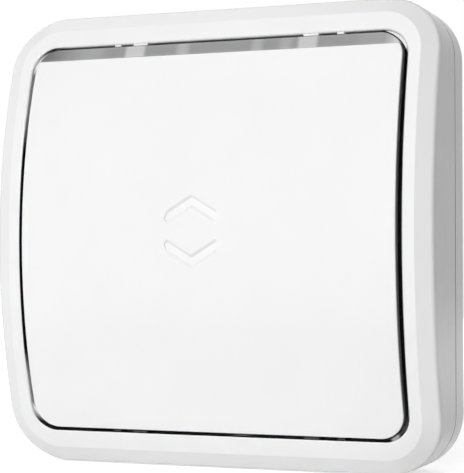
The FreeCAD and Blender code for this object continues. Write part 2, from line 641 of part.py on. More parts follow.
corner_webs = new_body("front_frame_corner_webs")
web_outline = new_sketch(corner_webs, "frame_web_outline", "XZ_Plane", lift="collar_rise")
add_rounded(web_outline, "opening_width + collar_wall", "opening_height + collar_wall",
            "opening_corner + collar_wall / 2")
pad(corner_webs, web_outline, "crown_peak - collar_rise + overcut")
bow_cut(corner_webs, "frame_web_face", "crown_peak - web_recess", "crown_radius - web_recess")
web_room = new_sketch(corner_webs, "frame_web_room", "XZ_Plane", lift="crown_peak + overcut")
add_rounded(web_room, "opening_width + collar_wall / 4", "opening_height + collar_wall / 4", "web_corner")
cut(corner_webs, web_room)

frame_pieces = [frame_shell, corner_webs]
for rib, width in (("wide_rib_left", "wide_rib"), ("wide_rib_right", "wide_rib"),
                   ("narrow_rib_left", "narrow_rib"), ("narrow_rib_right", "narrow_rib")):
    for end, side_z in (("_top", ""), ("_bottom", "0 - ")):
        place = side_z + "(opening_height / 2 + collar_wall / 4 - rib_reach / 2)"
        reach = "rib_reach + collar_wall / 2"
        frame_pieces.append(block(rib + end, rib, place, width, reach,
                                  "collar_rise", "rib_end - collar_rise"))
for suffix, side_x in (("_right", ""), ("_left", "0 - ")):
    for end, side_z, turn in (("_top", "", -90), ("_bottom", "0 - ", 90)):
        nose = doc.addObject("Part::Wedge", "snap_nose" + suffix + end)
        nose.Placement = FreeCAD.Placement(Vector(0, 0, 0), FreeCAD.Rotation(Vector(1, 0, 0), turn))
        for side, text in (("Xmin", "0"), ("Xmax", "hook_width"), ("X2min", "0"), ("X2max", "hook_width"),
                           ("Ymin", "0"), ("Ymax", "hook_reach + frame_wall / 2"),
                           ("Zmin", "0"), ("Zmax", "hook_height"),
                           ("Z2min", "0" if turn > 0 else "hook_height / 2"),
                           ("Z2max", "hook_height / 2" if turn > 0 else "hook_height")):
            bind(nose, side, text)
        bind(nose, "Placement.Base.x", side_x + "hook_place - hook_width / 2")
        bind(nose, "Placement.Base.y", "0 - hook_back" if turn > 0 else "0 - hook_back - hook_height")
        bind(nose, "Placement.Base.z", side_z + "(frame_height / 2 - frame_wall / 2)")
        frame_pieces.append(nose)
keep(join("front_frame_joined", frame_pieces), "front_frame")

# Rocker
# A bowed plate with a skirt, ribs, two pivot pins and two pressers, moulded in one.
# At the sides and the bottom the plate's edge stands out past the skirt.
rocker_block = new_body("rocker_block")
outline = new_sketch(rocker_block, "rocker_outline", "XZ_Plane", lift="rocker_back")
add_rounded(outline, "rocker_width", "rocker_height", "rocker_corner")
pad(rocker_block, outline, "rocker_peak - rocker_back + overcut")
bow_cut(rocker_block, "rocker_face", "rocker_peak", "rocker_radius")
rebate = new_sketch(rocker_block, "rocker_rebate", "XZ_Plane", lift="strip_seat")
add_rectangle(rebate, "0", "strip_foot + strip_height", "case_width", "2 * strip_height")
cut(rocker_block, rebate, outward=True)
slot = new_sketch(rocker_block, "rocker_pipe_slot", "XZ_Plane", lift="rocker_back - overcut")
add_rectangle(slot, "0", "pipe_middle", "pipe_width + 2 * strip_fit", "pipe_height + 2 * strip_fit")
cut(rocker_block, slot, outward=True)
peg_holes = new_sketch(rocker_block, "rocker_peg_holes", "XZ_Plane", lift="strip_seat + overcut")
for side_x in ("", "0 - "):
    add_circle(peg_holes, side_x + "peg_place", "peg_height", "peg_radius + strip_fit")
cut(rocker_block, peg_holes, "peg_length + hole_end + overcut")
doc.recompute()
faced = rocker_block.Tip.Shape


def rocker_rim(edge):
    """Whether an edge is the outer front edge of the rocker's face."""
    below_strip = edge.CenterOfMass.z < value("strip_foot - strip_fit / 2")
    return below_strip and front_corner(faced, value("rocker_back + overcut"))(edge)


round_edges(rocker_block, "rocker_rim_round", rocker_rim, "rocker_round")

rocker_cavity = new_body("rocker_cavity")
inside = new_sketch(rocker_cavity, "rocker_inside", "XZ_Plane", lift="rocker_back - overcut")
add_rounded(inside, "rocker_width - 2 * rocker_wall", "rocker_height - 2 * rocker_wall",
            "rocker_corner - rocker_wall")
pad(rocker_cavity, inside, "rocker_peak - rocker_back + overcut")
bow_cut(rocker_cavity, "rocker_inside_face", "rocker_peak - rocker_skin", "rocker_radius - rocker_skin")
shelf = new_sketch(rocker_cavity, "rocker_shelf", "XZ_Plane", lift="strip_seat - shelf_depth")
add_rectangle(shelf, "0", "strip_foot - rocker_wall + strip_height", "case_width", "2 * strip_height")
cut(rocker_cavity, shelf, outward=True)
ribs = new_sketch(rocker_cavity, "rocker_ribs", "XZ_Plane", lift="rocker_rib_back")
for side_x in ("", "0 - "):
    add_rectangle(ribs, side_x + "rocker_rib_x", "0", "rocker_rib", "case_height")
cut(rocker_cavity, ribs, outward=True)
level_ribs = new_sketch(rocker_cavity, "rocker_level_ribs", "XZ_Plane", lift="rocker_rib_back")
for side_z in ("", "0 - "):
    add_rectangle(level_ribs, "0", side_z + "rocker_rib_z", "case_width", "rocker_rib")
cut(rocker_cavity, level_ribs, outward=True)

rocker_undercut = new_body("rocker_undercut")
around = new_sketch(rocker_undercut, "undercut_outside", "XZ_Plane", lift="rocker_back - overcut")
add_rectangle(around, "0", "undercut_top - undercut_height / 2", "rocker_width + 2 * overcut", "undercut_height")
pad(rocker_undercut, around, "rocker_peak - rocker_back + overcut")
skirt = new_sketch(rocker_undercut, "undercut_skirt", "XZ_Plane", lift="rocker_peak + overcut")
add_rounded(skirt, "rocker_width - 2 * skirt_inset", "rocker_height - 2 * skirt_inset",
            "rocker_corner - skirt_inset")
cut(rocker_undercut, skirt)
bow_cut(rocker_undercut, "undercut_face", "rocker_peak - rocker_edge", "rocker_radius - rocker_edge")
rocker_hollowed = less("rocker_hollowed", rocker_block, rocker_cavity)
rocker_pieces = [less("rocker_shell", rocker_hollowed, rocker_undercut)]
for suffix, start in (("_right", "rocker_width / 2 - rocker_wall - trunnion_length"),
                      ("_left", "0 - rocker_width / 2 + rocker_wall - skirt_wall / 2")):
    pin = doc.addObject("Part::Cylinder", "pivot_pin" + suffix)
    pin.Placement = FreeCAD.Placement(Vector(0, 0, 0), FreeCAD.Rotation(Vector(0, 1, 0), 90))
    bind(pin, "Radius", "trunnion_radius")
    bind(pin, "Height", "trunnion_length + skirt_wall / 2")
    bind(pin, "Placement.Base.x", start)
    bind(pin, "Placement.Base.y", "0 - pivot_rise")
    rocker_pieces.append(pin)
for end, side_z in (("_top", ""), ("_bottom", "0 - ")):
    place = side_z + "key_height"
    rocker_pieces.append(rod("presser" + end, "0", place, "presser_radius", "presser_tip + presser_radius",
                             "presser_root - presser_tip - presser_radius"))
    tip = doc.addObject("Part::Sphere", "presser_tip" + end)
    bind(tip, "Radius", "presser_radius")
    bind(tip, "Placement.Base.y", "0 - presser_tip - presser_radius")
    bind(tip, "Placement.Base.z", place)
    rocker_pieces.append(tip)
    rocker_pieces.append(block("presser_fin" + end, "0", place, "presser_fin_width", "presser_fin",
                               "fin_back", "presser_root - fin_back"))
keep(join("rocker_joined", rocker_pieces), "rocker")

# Light strip
# A frosted bar along the rocker's top edge, with a light pipe and two pegs behind it.
strip = new_body("light_strip_body")
bar = new_sketch(strip, "strip_bar", "XZ_Plane", lift="strip_seat")
add_rounded(bar, "rocker_width", "rocker_height", "rocker_corner")
pad(strip, bar, "rocker_peak - strip_seat + overcut")
bow_cut(strip, "strip_face", "rocker_peak", "rocker_radius")
below = new_sketch(strip, "strip_below", "XZ_Plane", lift="rocker_peak + overcut")
add_rectangle(below, "0", "strip_foot + strip_fit - case_height / 2", "case_width", "case_height")
cut(strip, below)
pipe = new_sketch(strip, "strip_pipe", "XZ_Plane", lift="pipe_end")
add_rectangle(pipe, "0", "pipe_middle", "pipe_width", "pipe_height - 2 * strip_fit")
pad(strip, pipe, "strip_seat - pipe_end + footing")
pegs = new_sketch(strip, "strip_pegs", "XZ_Plane", lift="strip_seat - peg_length")
for side_x in ("", "0 - "):
    add_circle(pegs, side_x + "peg_place", "peg_height", "peg_radius")
pad(strip, pegs, "peg_length + footing")
keep(strip, "light_strip")

# Inner chassis
# The moulded tray that is screwed to the wall plate and carries the board, the hinge posts and the stops.
chassis = new_body("chassis_tray")
tray = new_sketch(chassis, "chassis_floor_plan", "XZ_Plane", lift="chassis_back")
add_rounded(tray, "chassis_width", "chassis_height", "chassis_corner")
pad(chassis, tray, "chassis_floor + chassis_rib_rise")
well = new_sketch(chassis, "chassis_well", "XZ_Plane", lift="chassis_top")
add_rounded(well, "chassis_width - 2 * chassis_rib", "chassis_height - 2 * chassis_rib",
            "chassis_corner - chassis_rib")
cut(chassis, well, outward=True)
board_posts = new_sketch(chassis, "chassis_board_posts", "XZ_Plane", lift="chassis_back")
for side_x in ("", "0 - "):
    for side_z in ("", "0 - "):
        add_circle(board_posts, side_x + "board_screw_x", side_z + "board_screw_z", "board_post_radius")
pad(chassis, board_posts, "chassis_floor + board_rise")
access = new_sketch(chassis, "chassis_access_holes", "XZ_Plane", lift="chassis_top + overcut")
for side_z in ("", "0 - "):
    add_circle(access, "0", side_z + "wall_screw_spacing / 2", "access_radius")
cut(chassis, access, "chassis_floor + 2 * overcut")
board_pilots = new_sketch(chassis, "chassis_board_pilots", "XZ_Plane", lift="board_back + overcut")
for side_x in ("", "0 - "):
    for side_z in ("", "0 - "):
        add_circle(board_pilots, side_x + "board_screw_x", side_z + "board_screw_z",
                   "screw_radius + screw_fit")
cut(chassis, board_pilots, "board_screw_length - board_thickness + hole_end + overcut")
tray_holes = new_sketch(chassis, "chassis_screw_holes", "XZ_Plane", lift="chassis_top + overcut")
for side_x in ("", "0 - "):
    for side_z in ("", "0 - "):
        add_circle(tray_holes, side_x + "chassis_screw_x", side_z + "chassis_screw_z",
                   "screw_radius + screw_fit")
cut(chassis, tray_holes, "chassis_floor + 2 * overcut")
chassis_pieces = [chassis]
bores = []
for suffix, side_x in (("_right", ""), ("_left", "0 - ")):
    middle = side_x + "post_middle"
    chassis_pieces.append(block("hinge_post" + suffix, middle, "0", "post_thickness", "post_width",
                                "chassis_back", "pivot_rise - chassis_back"))
    for name, radius, length, pieces in (
            ("hinge_eye", "post_width / 2", "post_thickness", chassis_pieces),
            ("hinge_bore", "trunnion_radius + pivot_fit", "post_thickness + 2 * overcut", bores)):
        barrel = doc.addObject("Part::Cylinder", name + suffix)
        barrel.Placement = FreeCAD.Placement(Vector(0, 0, 0), FreeCAD.Rotation(Vector(0, 1, 0), 90))
        bind(barrel, "Radius", radius)
        bind(barrel, "Height", length)
        bind(barrel, "Placement.Base.x", "%s - (%s) / 2" % (middle, length))
        bind(barrel, "Placement.Base.y", "0 - pivot_rise")
        pieces.append(barrel)
    for end, side_z in (("_top", ""), ("_bottom", "0 - ")):
        chassis_pieces.append(block("rocker_stop" + suffix + end, side_x + "stop_place",
                                    side_z + "skirt_middle", "stop_width", "stop_wall",
                                    "chassis_back", "stop_end - chassis_back"))
keep(less("chassis_bored", join("chassis_solid", chassis_pieces), join("hinge_bores", bores)), "chassis")


def screw(name, x, z, seat, length):
    """A small pan-head screw with a cross in its head, driven towards the wall."""
    body = join(name + "_body", [
        rod(name + "_head", x, z, "screw_head_radius", seat, "screw_head_height"),
        rod(name + "_shank", x, z, "screw_radius", "%s - %s" % (seat, length), length)])
    bottom = seat + " + screw_head_height / 2"
    cross = join(name + "_cross", [
        block(name + "_cut_a", x, z, "2 * screw_radius", "screw_slot", bottom, "screw_head_height"),
        block(name + "_cut_b", x, z, "screw_slot", "2 * screw_radius", bottom, "screw_head_height")])
    return less(name, body, cross)


# Screws
# Four hold the chassis to the wall plate, four hold the board to the chassis.
for label, x, z, seat, length in (
        ("chassis_screws", "chassis_screw_x", "chassis_screw_z", "chassis_top", "chassis_screw_length"),
        ("board_screws", "board_screw_x", "board_screw_z", "board_top", "board_screw_length")):
    screws = []
    for side, side_x in (("_right", ""), ("_left", "0 - ")):
        for end, side_z in (("_top", ""), ("_bottom", "0 - ")):
            screws.append(screw(label + side + end, side_x + x, side_z + z, seat, length))
    keep(group(label + "_group", screws), label)

# Circuit board
# Its tongue carries the indicator LED under the light pipe.
board = new_body("circuit_board_body")
card = new_sketch(board, "board_card", "XZ_Plane", lift="board_back")
add_rounded(card, "board_width", "board_height", "board_corner")
pad(board, card, "board_thickness")
tongue = new_sketch(board, "board_tongue", "XZ_Plane", lift="board_back")
add_rectangle(tongue, "0", "tongue_end / 2", "tongue_width", "tongue_end")
pad(board, tongue, "board_thickness")
board_holes = new_sketch(board, "board_screw_holes", "XZ_Plane", lift="board_top + overcut")
for side_x in ("", "0 - "):
    for side_z in ("", "0 - "):
        add_circle(board_holes, side_x + "board_screw_x", side_z + "board_screw_z",
                   "screw_radius + screw_fit")
cut(board, board_holes)
keep(board, "circuit_board")

# Push keys
# Each has a moulded housing, a sheet cover, four legs and a plunger that stays half pressed.
for end, side_z in (("top", ""), ("bottom", "0 - ")):
    place = side_z + "key_height"
    name = end + "_key"
    housing = block(name + "_block", "0", place, "key_width", "key_width", "board_top", "key_rise")
    well = rod(name + "_well", "0", place, "plunger_flange + plunger_fit",
               "flange_back - plunger_room", "key_top - flange_back + plunger_room + overcut")
    keep(less(name + "_housing_cut", housing, well), name + "_housing")
    sheet_cover = block(name + "_sheet", "0", place, "key_width", "key_width", "key_top", "key_cover")
    hole = rod(name + "_hole", "0", place, "plunger_radius + plunger_fit",
               "key_top - overcut", "key_cover + 2 * overcut")
    keep(less(name + "_cover_cut", sheet_cover, hole), name + "_cover")
    keep(join(name + "_plunger_joined", [
        rod(name + "_stem", "0", place, "plunger_radius", "flange_back", "plunger_top - flange_back"),
        rod(name + "_flange", "0", place, "plunger_flange", "flange_back", "plunger_flange_height")]),
        name + "_plunger")
    legs = []
    for number, (side_x, step) in enumerate((("", ""), ("", "0 - "), ("0 - ", ""), ("0 - ", "0 - "))):
        legs.append(block("%s_leg_%d" % (name, number), side_x + "(key_width / 2 + leg_length / 2)",
                          "%s + %s leg_spacing / 2" % (place, step), "leg_length", "leg_width",
                          "board_top", "leg_thickness"))
    keep(group(name + "_legs_group", legs), name + "_legs")

# Coin cell, its holder and its contacts
keep(join("coin_cell_joined", [
    rod("cell_cap", "cell_x", "0", "cell_cap_radius", "cap_back", "cell_cap_height"),
    rod("cell_can", "cell_x", "0", "cell_radius", "cap_back + cell_cap_height",
        "cell_height - cell_cap_height")]),
    "coin_cell")
cell_room = join("cell_room", [
    rod("cell_room_wide", "cell_x", "0", "cell_radius + cell_fit", "ledge_top", "cell_height"),
    rod("cell_room_narrow", "cell_x", "0", "cell_cap_radius + 2 * cell_fit",
        "board_top - overcut", "cell_height"),
    block("finger_notch", "cell_x", "0 - cell_radius", "holder_notch", "cell_radius",
          "ledge_top", "cell_height")])
holder_ring = rod("cell_holder_ring", "cell_x", "0", "holder_radius", "board_top", "holder_height")
keep(less("cell_holder_cut", holder_ring, cell_room), "cell_holder")
clip_arch = less("clip_arch",
                 block("clip_outside", "cell_x", "0", "clip_inside + 2 * contact_sheet", "contact_width",
                       "board_top", "clip_rise + contact_sheet"),
                 block("clip_room", "cell_x", "0", "clip_inside", "contact_width + 2 * overcut",
                       "board_top - overcut", "clip_rise + overcut"))
clip_pieces = [clip_arch]
for suffix, side_x in (("_right", "+"), ("_left", "-")):
    foot_x = "cell_x %s (clip_inside / 2 + contact_sheet / 2 + contact_foot / 2)" % side_x
    clip_pieces.append(block("clip_foot" + suffix, foot_x, "0", "contact_foot + contact_sheet",
                             "contact_width", "board_top", "contact_sheet"))
keep(join("plus_contact_joined", clip_pieces), "plus_contact")
keep(rod("minus_contact_disc", "cell_x", "0", "minus_radius", "board_top", "contact_sheet"), "minus_contact")

# Radio: a small board with a metal can over its chip, and a chip antenna at its end
keep(block("radio_card", "radio_x", "0", "radio_width", "radio_height", "board_top", "radio_thickness"),
     "radio_board")
keep(less("radio_shield_cut",
          block("shield_outside", "radio_x", "shield_z", "shield_width", "shield_height",
                "radio_top", "shield_rise"),
          block("shield_inside", "radio_x", "shield_z", "shield_width - 2 * shield_sheet",
                "shield_height - 2 * shield_sheet", "radio_top - overcut",
                "shield_rise - shield_sheet + overcut")),
     "radio_shield")
keep(block("radio_die", "radio_x", "shield_z", "chip_width", "chip_width", "radio_top", "chip_rise"),
     "radio_chip")
keep(block("antenna_block", "radio_x", "antenna_z", "antenna_length", "antenna_width",
           "radio_top", "antenna_rise"), "radio_antenna")

# Controller, crystal, LED and the small parts round them
keep(block("controller_block", "chip_x", "chip_z", "chip_width", "chip_width", "board_top", "chip_rise"),
     "controller_chip")
crystal_pieces = [block("crystal_middle", "chip_x", "crystal_z", "crystal_length - crystal_width",
                        "crystal_width", "board_top", "crystal_rise")]
for suffix, side_x in (("_right", "+"), ("_left", "-")):
    end_x = "chip_x %s (crystal_length - crystal_width) / 2" % side_x
    crystal_pieces.append(rod("crystal_end" + suffix, end_x, "crystal_z", "crystal_width / 2",
                              "board_top", "crystal_rise"))
keep(join("crystal_joined", crystal_pieces), "timing_crystal")
keep(block("led_block", "0", "pipe_middle", "led_width", "led_height", "board_top", "led_rise"),
     "indicator_led")
keep(join("buffer_capacitor_joined", [
    block("buffer_foot", "radio_x", "buffer_z", "buffer_base", "buffer_base",
          "board_top", "buffer_base_rise"),
    rod("buffer_can", "radio_x", "buffer_z", "buffer_radius", "board_top", "buffer_rise")]),
    "buffer_capacitor")
for label, rise, row_z in (("chip_capacitors", "chip_capacitor_rise", "capacitor_z"),
                           ("chip_resistors", "chip_resistor_rise", "resistor_z")):
    row = []
    for step in ("- 1.5", "- 0.5", "+ 0.5", "+ 1.5"):
        row.append(block("%s_%d" % (label, len(row)), "radio_x %s * chip_part_pitch" % step, row_z,
                         "chip_part_width", "chip_part_length", "board_top", rise))
    keep(group(label + "_row", row), label)

# Check every object, then write one file for each sub-part
doc.recompute()
failed = [thing.Name for thing in doc.Objects if "Invalid" in thing.State or "Error" in thing.State]
if failed:
    raise RuntimeError("these objects failed: " + ", ".join(failed))
for part in parts:
    if part.Shape.isNull() or not part.Shape.isValid() or not part.Shape.Solids:
        raise RuntimeError("no good solid in " + part.Label)
os.makedirs("parts", exist_ok=True)
for part in parts:
    part.Shape.exportStep("parts/%s.step" % part.Label)
    print(part.Label, len(part.Shape.Solids), "solids", round(part.Shape.Volume, 1), "cubic mm")
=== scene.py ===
import math

import bmesh
import bpy
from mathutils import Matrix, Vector


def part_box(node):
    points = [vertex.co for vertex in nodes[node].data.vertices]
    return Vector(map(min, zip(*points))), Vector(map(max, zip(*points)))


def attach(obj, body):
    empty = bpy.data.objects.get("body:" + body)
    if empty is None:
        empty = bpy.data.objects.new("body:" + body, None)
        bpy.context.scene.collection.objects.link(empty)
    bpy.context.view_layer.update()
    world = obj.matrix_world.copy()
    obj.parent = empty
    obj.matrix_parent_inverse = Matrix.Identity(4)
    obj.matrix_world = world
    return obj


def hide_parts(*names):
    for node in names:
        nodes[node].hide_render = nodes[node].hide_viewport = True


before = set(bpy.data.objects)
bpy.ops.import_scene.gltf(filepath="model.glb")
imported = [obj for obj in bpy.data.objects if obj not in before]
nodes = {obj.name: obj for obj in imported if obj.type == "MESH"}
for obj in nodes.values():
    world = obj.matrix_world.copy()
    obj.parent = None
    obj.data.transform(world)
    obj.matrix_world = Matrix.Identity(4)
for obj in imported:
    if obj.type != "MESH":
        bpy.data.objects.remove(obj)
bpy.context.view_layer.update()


# Camera: the place that the product picture was taken from.
# It stands to the right of the switch and a little below its middle, and looks very slightly up,
# through a long lens, so that the right side of the case shows.
CAMERA_PLACE = (0.09759, -0.26664, -0.00668)
CAMERA_YAW = math.radians(20.64)
CAMERA_PITCH = math.radians(1.43)
CAMERA_LEVEL = math.radians(90)
CAMERA_LENS = 116.98
CAMERA_SENSOR = 36.0
CAMERA_NEAR = 0.01
CAMERA_FAR = 20.0

camera_data = bpy.data.cameras.new("picture_camera")
camera_data.lens = CAMERA_LENS
camera_data.sensor_width = CAMERA_SENSOR
camera_data.clip_start = CAMERA_NEAR
camera_data.clip_end = CAMERA_FAR
camera = bpy.data.objects.new("picture_camera", camera_data)
bpy.context.scene.collection.objects.link(camera)
camera.location = CAMERA_PLACE
camera.rotation_euler = (CAMERA_LEVEL + CAMERA_PITCH, 0.0, CAMERA_YAW)
bpy.context.scene.camera = camera
bpy.context.scene.view_settings.view_transform = "Standard"


# Table: a smooth white board that the switch stands on, which takes the soft shadow of the switch.
# The room round it is white to the eye and in mirrors, and gives off no light of its own.
# Away from the switch the board runs out into the white of the room, so that no edge shows.
BOARD_TOP = -0.0409
BOARD_HALF = 2.5
BOARD_FRONT = -0.100
BOARD_TONE = 0.82
BOARD_WHITENING = (0.66, 1.0)
BOARD_RUN_OUT = (0.06, 0.30)
ROOM_GLOW = 0.0
ROOM_WHITE = 1.0


def combined(tree, operation, first, second=0.0):
    """Two numbers joined by one sum. Some sums take only the first."""
    node = tree.nodes.new("ShaderNodeMath")
    node.operation = operation
    for socket, value in ((0, first), (1, second)):
        if isinstance(value, float):
            node.inputs[socket].default_value = value
        else:
            tree.links.new(value, node.inputs[socket])
    return node.outputs[0]


def between(tree, value, low, high, start=0.3, end=0.7):
    """Turns a number from start to end into one from low to high. Noise stays mostly from 0.3 to 0.7."""
    spread = tree.nodes.new("ShaderNodeMapRange")
    spread.inputs["From Min"].default_value = start
    spread.inputs["From Max"].default_value = end
    spread.inputs["To Min"].default_value = low
    spread.inputs["To Max"].default_value = high
    tree.links.new(value, spread.inputs["Value"])
    return spread.outputs["Result"]


def smoothly(tree, value, low, high, start, end):
    """The same, with no kink at start or end."""
    result = between(tree, value, low, high, start, end)
    result.node.interpolation_type = "SMOOTHSTEP"
    return result


def seen_directly(tree):
    """1 where the eye, a mirror or a glass looks at the surface, 0 where it only gives off light."""
    path = tree.nodes.new("ShaderNodeLightPath")
    eye_or_mirror = combined(tree, "MAXIMUM", path.outputs["Is Camera Ray"], path.outputs["Is Glossy Ray"])
    return combined(tree, "MAXIMUM", eye_or_mirror, path.outputs["Is Transmission Ray"])


board_mesh = bpy.data.meshes.new("table_board")
board_corners = [
    (-BOARD_HALF, BOARD_FRONT, BOARD_TOP),
    (BOARD_HALF, BOARD_FRONT, BOARD_TOP),
    (BOARD_HALF, BOARD_HALF, BOARD_TOP),
    (-BOARD_HALF, BOARD_HALF, BOARD_TOP),
]
board_mesh.from_pydata(board_corners, [], [(0, 1, 2, 3)])
table_board = bpy.data.objects.new("table_board", board_mesh)
bpy.context.scene.collection.objects.link(table_board)

board_paint = bpy.data.materials.new("table_white")
board_paint.use_nodes = True
board_tree = board_paint.node_tree
board_tree.nodes.clear()
board_matt = board_tree.nodes.new("ShaderNodeBsdfDiffuse")
board_matt.inputs["Color"].default_value = (BOARD_TONE, BOARD_TONE, BOARD_TONE, 1)
board_place = board_tree.nodes.new("ShaderNodeTexCoord").outputs["Object"]
board_reach = board_tree.nodes.new("ShaderNodeVectorMath")
board_reach.operation = "LENGTH"
board_tree.links.new(board_place, board_reach.inputs[0])
board_white = smoothly(board_tree, board_reach.outputs["Value"], *BOARD_WHITENING, *BOARD_RUN_OUT)
board_share = combined(board_tree, "MULTIPLY", seen_directly(board_tree), board_white)
board_lift = board_tree.nodes.new("ShaderNodeEmission")
board_tree.links.new(board_share, board_lift.inputs["Strength"])
board_sum = board_tree.nodes.new("ShaderNodeAddShader")
board_tree.links.new(board_matt.outputs[0], board_sum.inputs[0])
board_tree.links.new(board_lift.outputs[0], board_sum.inputs[1])
board_out = board_tree.nodes.new("ShaderNodeOutputMaterial")
board_tree.links.new(board_sum.outputs[0], board_out.inputs["Surface"])
board_mesh.materials.append(board_paint)

room = bpy.data.worlds.new("white_room")
bpy.context.scene.world = room
room.use_nodes = True
room_tree = room.node_tree
room_light = room_tree.nodes["Background"]
room_light.inputs["Color"].default_value = (1, 1, 1, 1)
room_strength = between(room_tree, seen_directly(room_tree), ROOM_GLOW, ROOM_WHITE, 0.0, 1.0)
room_tree.links.new(room_strength, room_light.inputs["Strength"])


# Lamps: soft boxes on stands round the table, all turned to the middle of the switch.
# Each has its bearing to the right of straight ahead, which is where the switch faces, its height angle,
# its distance, its width and height, and its power.
LAMP_TARGET = Vector((0.0, -0.012, 0.0))
SOFT_BOXES = {
    "front_box": (8, 12, 0.95, 0.30, 0.70, 5.8),
    "large_left_box": (-23, 8, 0.75, 0.85, 1.30, 2.2),
    "left_box": (-72, 12, 0.90, 0.40, 0.80, 0.7),
    "high_left_box": (-80, 65, 0.90, 0.60, 0.40, 0.9),
    "high_front_box": (0, 55, 0.90, 0.80, 0.40, 0.7),
    "back_box": (-160, 25, 0.90, 0.60, 0.60, 3.2),
}


def soft_box(name, bearing, height, distance, width, tall, power):
    """One square-edged soft box, facing the switch."""
    data = bpy.data.lights.new(name, "AREA")
    data.shape = "RECTANGLE"
    data.size = width
    data.size_y = tall
    data.energy = power
    lamp = bpy.data.objects.new(name, data)
    bpy.context.scene.collection.objects.link(lamp)
    round_angle = math.radians(bearing)
    up_angle = math.radians(height)
    towards = Vector((
        math.sin(round_angle) * math.cos(up_angle),
        -math.cos(round_angle) * math.cos(up_angle),
        math.sin(up_angle),
    ))
    lamp.location = LAMP_TARGET + towards * distance
    lamp.rotation_mode = "QUATERNION"
    lamp.rotation_quaternion = towards.to_track_quat("Z", "Y")
    return lamp


# Gloss doesn't show the back box, so that it leaves no glare on the upper edge of the case.
for box_name, box_values in SOFT_BOXES.items():
    new_box = soft_box(box_name, *box_values)
    new_box.visible_glossy = box_name != "back_box"


# Wall plate: the shallow tray at the back that is screwed or taped to the wall.
# Injection-moulded white ABS with a satin surface. Its rim shows behind the parting line of the case,
# and the ledge and lip inside that line are darkened with painted shade, so that the line shows.
CASE_LIGHT = (0.905, 0.905, 0.905)
CASE_DARK = (0.890, 0.890, 0.891)
CASE_ROUGHNESS = (0.20, 0.26)
CLOUD_SIZE = 0.012
GLOSS_PATCH_SIZE = 0.004
MOULD_GRAIN = 0.0003
MOULD_GRAIN_DEPTH = 0.0000015
LEDGE_DEPTH = -0.00545
LEDGE_SHADE = (0.10, 0.10, 0.10)

# The places of the two colours, and of their result, among the sockets of a colour mix.
MIX_FIRST = 6
MIX_SECOND = 7
MIX_RESULT = 2


def new_finish(name, metal=0.0):
    """A new material: its node tree, its shader, and the place on the piece in metres."""
    material = bpy.data.materials.new(name)
    material.use_nodes = True
    tree = material.node_tree
    shader = tree.nodes["Principled BSDF"]
    shader.inputs["Metallic"].default_value = metal
    place = tree.nodes.new("ShaderNodeTexCoord").outputs["Object"]
    return material, tree, shader, place


def mottle(tree, place, size, detail=2.0, stretch=(1, 1, 1)):
    """Soft random patches about this many metres across, from 0 to 1."""
    scale = tree.nodes.new("ShaderNodeMapping")
    scale.inputs["Scale"].default_value = stretch
    tree.links.new(place, scale.inputs["Vector"])
    noise = tree.nodes.new("ShaderNodeTexNoise")
    noise.inputs["Scale"].default_value = 1 / size
    noise.inputs["Detail"].default_value = detail
    tree.links.new(scale.outputs["Vector"], noise.inputs["Vector"])
    return noise.outputs["Fac"]


def two_tones(tree, value, first, second):
    """The colour that goes from first to second as the value goes from 0 to 1."""
    mix = tree.nodes.new("ShaderNodeMix")
    mix.data_type = "RGBA"
    tree.links.new(value, mix.inputs[0])
    for socket, tone in ((MIX_FIRST, first), (MIX_SECOND, second)):
        if isinstance(tone, tuple):
            mix.inputs[socket].default_value = (*tone, 1)
        else:
            tree.links.new(tone, mix.inputs[socket])
    return mix.outputs[MIX_RESULT]


def relief(tree, shader, height, depth):
    """Raises and sinks the surface by a pattern, by at most this many metres."""
    bump = tree.nodes.new("ShaderNodeBump")
    bump.inputs["Strength"].default_value = 1.0
    bump.inputs["Distance"].default_value = depth
    tree.links.new(height, bump.inputs["Height"])
    tree.links.new(bump.outputs["Normal"], shader.inputs["Normal"])


def moulded_plastic(name, light, dark, roughness, grain=MOULD_GRAIN, depth=MOULD_GRAIN_DEPTH):
    """Satin moulded plastic: faint clouding of the tone, patchy gloss and a very fine mould grain."""
    material, tree, shader, place = new_finish(name)
    cloud = mottle(tree, place, CLOUD_SIZE)
    tone = two_tones(tree, between(tree, cloud, 0, 1), dark, light)
    tree.links.new(tone, shader.inputs["Base Color"])
    patch = mottle(tree, place, GLOSS_PATCH_SIZE)
    tree.links.new(between(tree, patch, *roughness), shader.inputs["Roughness"])
    relief(tree, shader, mottle(tree, place, grain, detail=1.0), depth)
    return material


def dress(material, *names):
    """Gives a CAD node this material in place of its plain one."""
    for name in names:
        mesh = nodes[name].data
        mesh.materials.clear()
        mesh.materials.append(material)


def axis_of(tree, axis):
    """The place on the piece along one axis: X to the right, Y backwards or Z up."""
    split = tree.nodes.new("ShaderNodeSeparateXYZ")
    tree.links.new(tree.nodes.new("ShaderNodeTexCoord").outputs["Object"], split.inputs["Vector"])
    return split.outputs[axis]


def paint_shade(material, share, shade_tone):
    """Paints shade into the material's colour: it turns to the shade tone where share is 1."""
    tree = material.node_tree
    colour = tree.nodes["Principled BSDF"].inputs["Base Color"]
    own_colour = colour.links[0].from_socket
    tree.links.new(two_tones(tree, share, own_colour, shade_tone), colour)


plate_plastic = moulded_plastic("white_plate_plastic", CASE_LIGHT, CASE_DARK, CASE_ROUGHNESS)
plate_tree = plate_plastic.node_tree
plate_back = axis_of(plate_tree, "Y")
# Painted shade: the ledge and lip behind the parting line are darkened.
on_ledge = combined(plate_tree, "LESS_THAN", plate_back, LEDGE_DEPTH)
paint_shade(plate_plastic, on_ledge, LEDGE_SHADE)
dress(plate_plastic, "wall_plate")


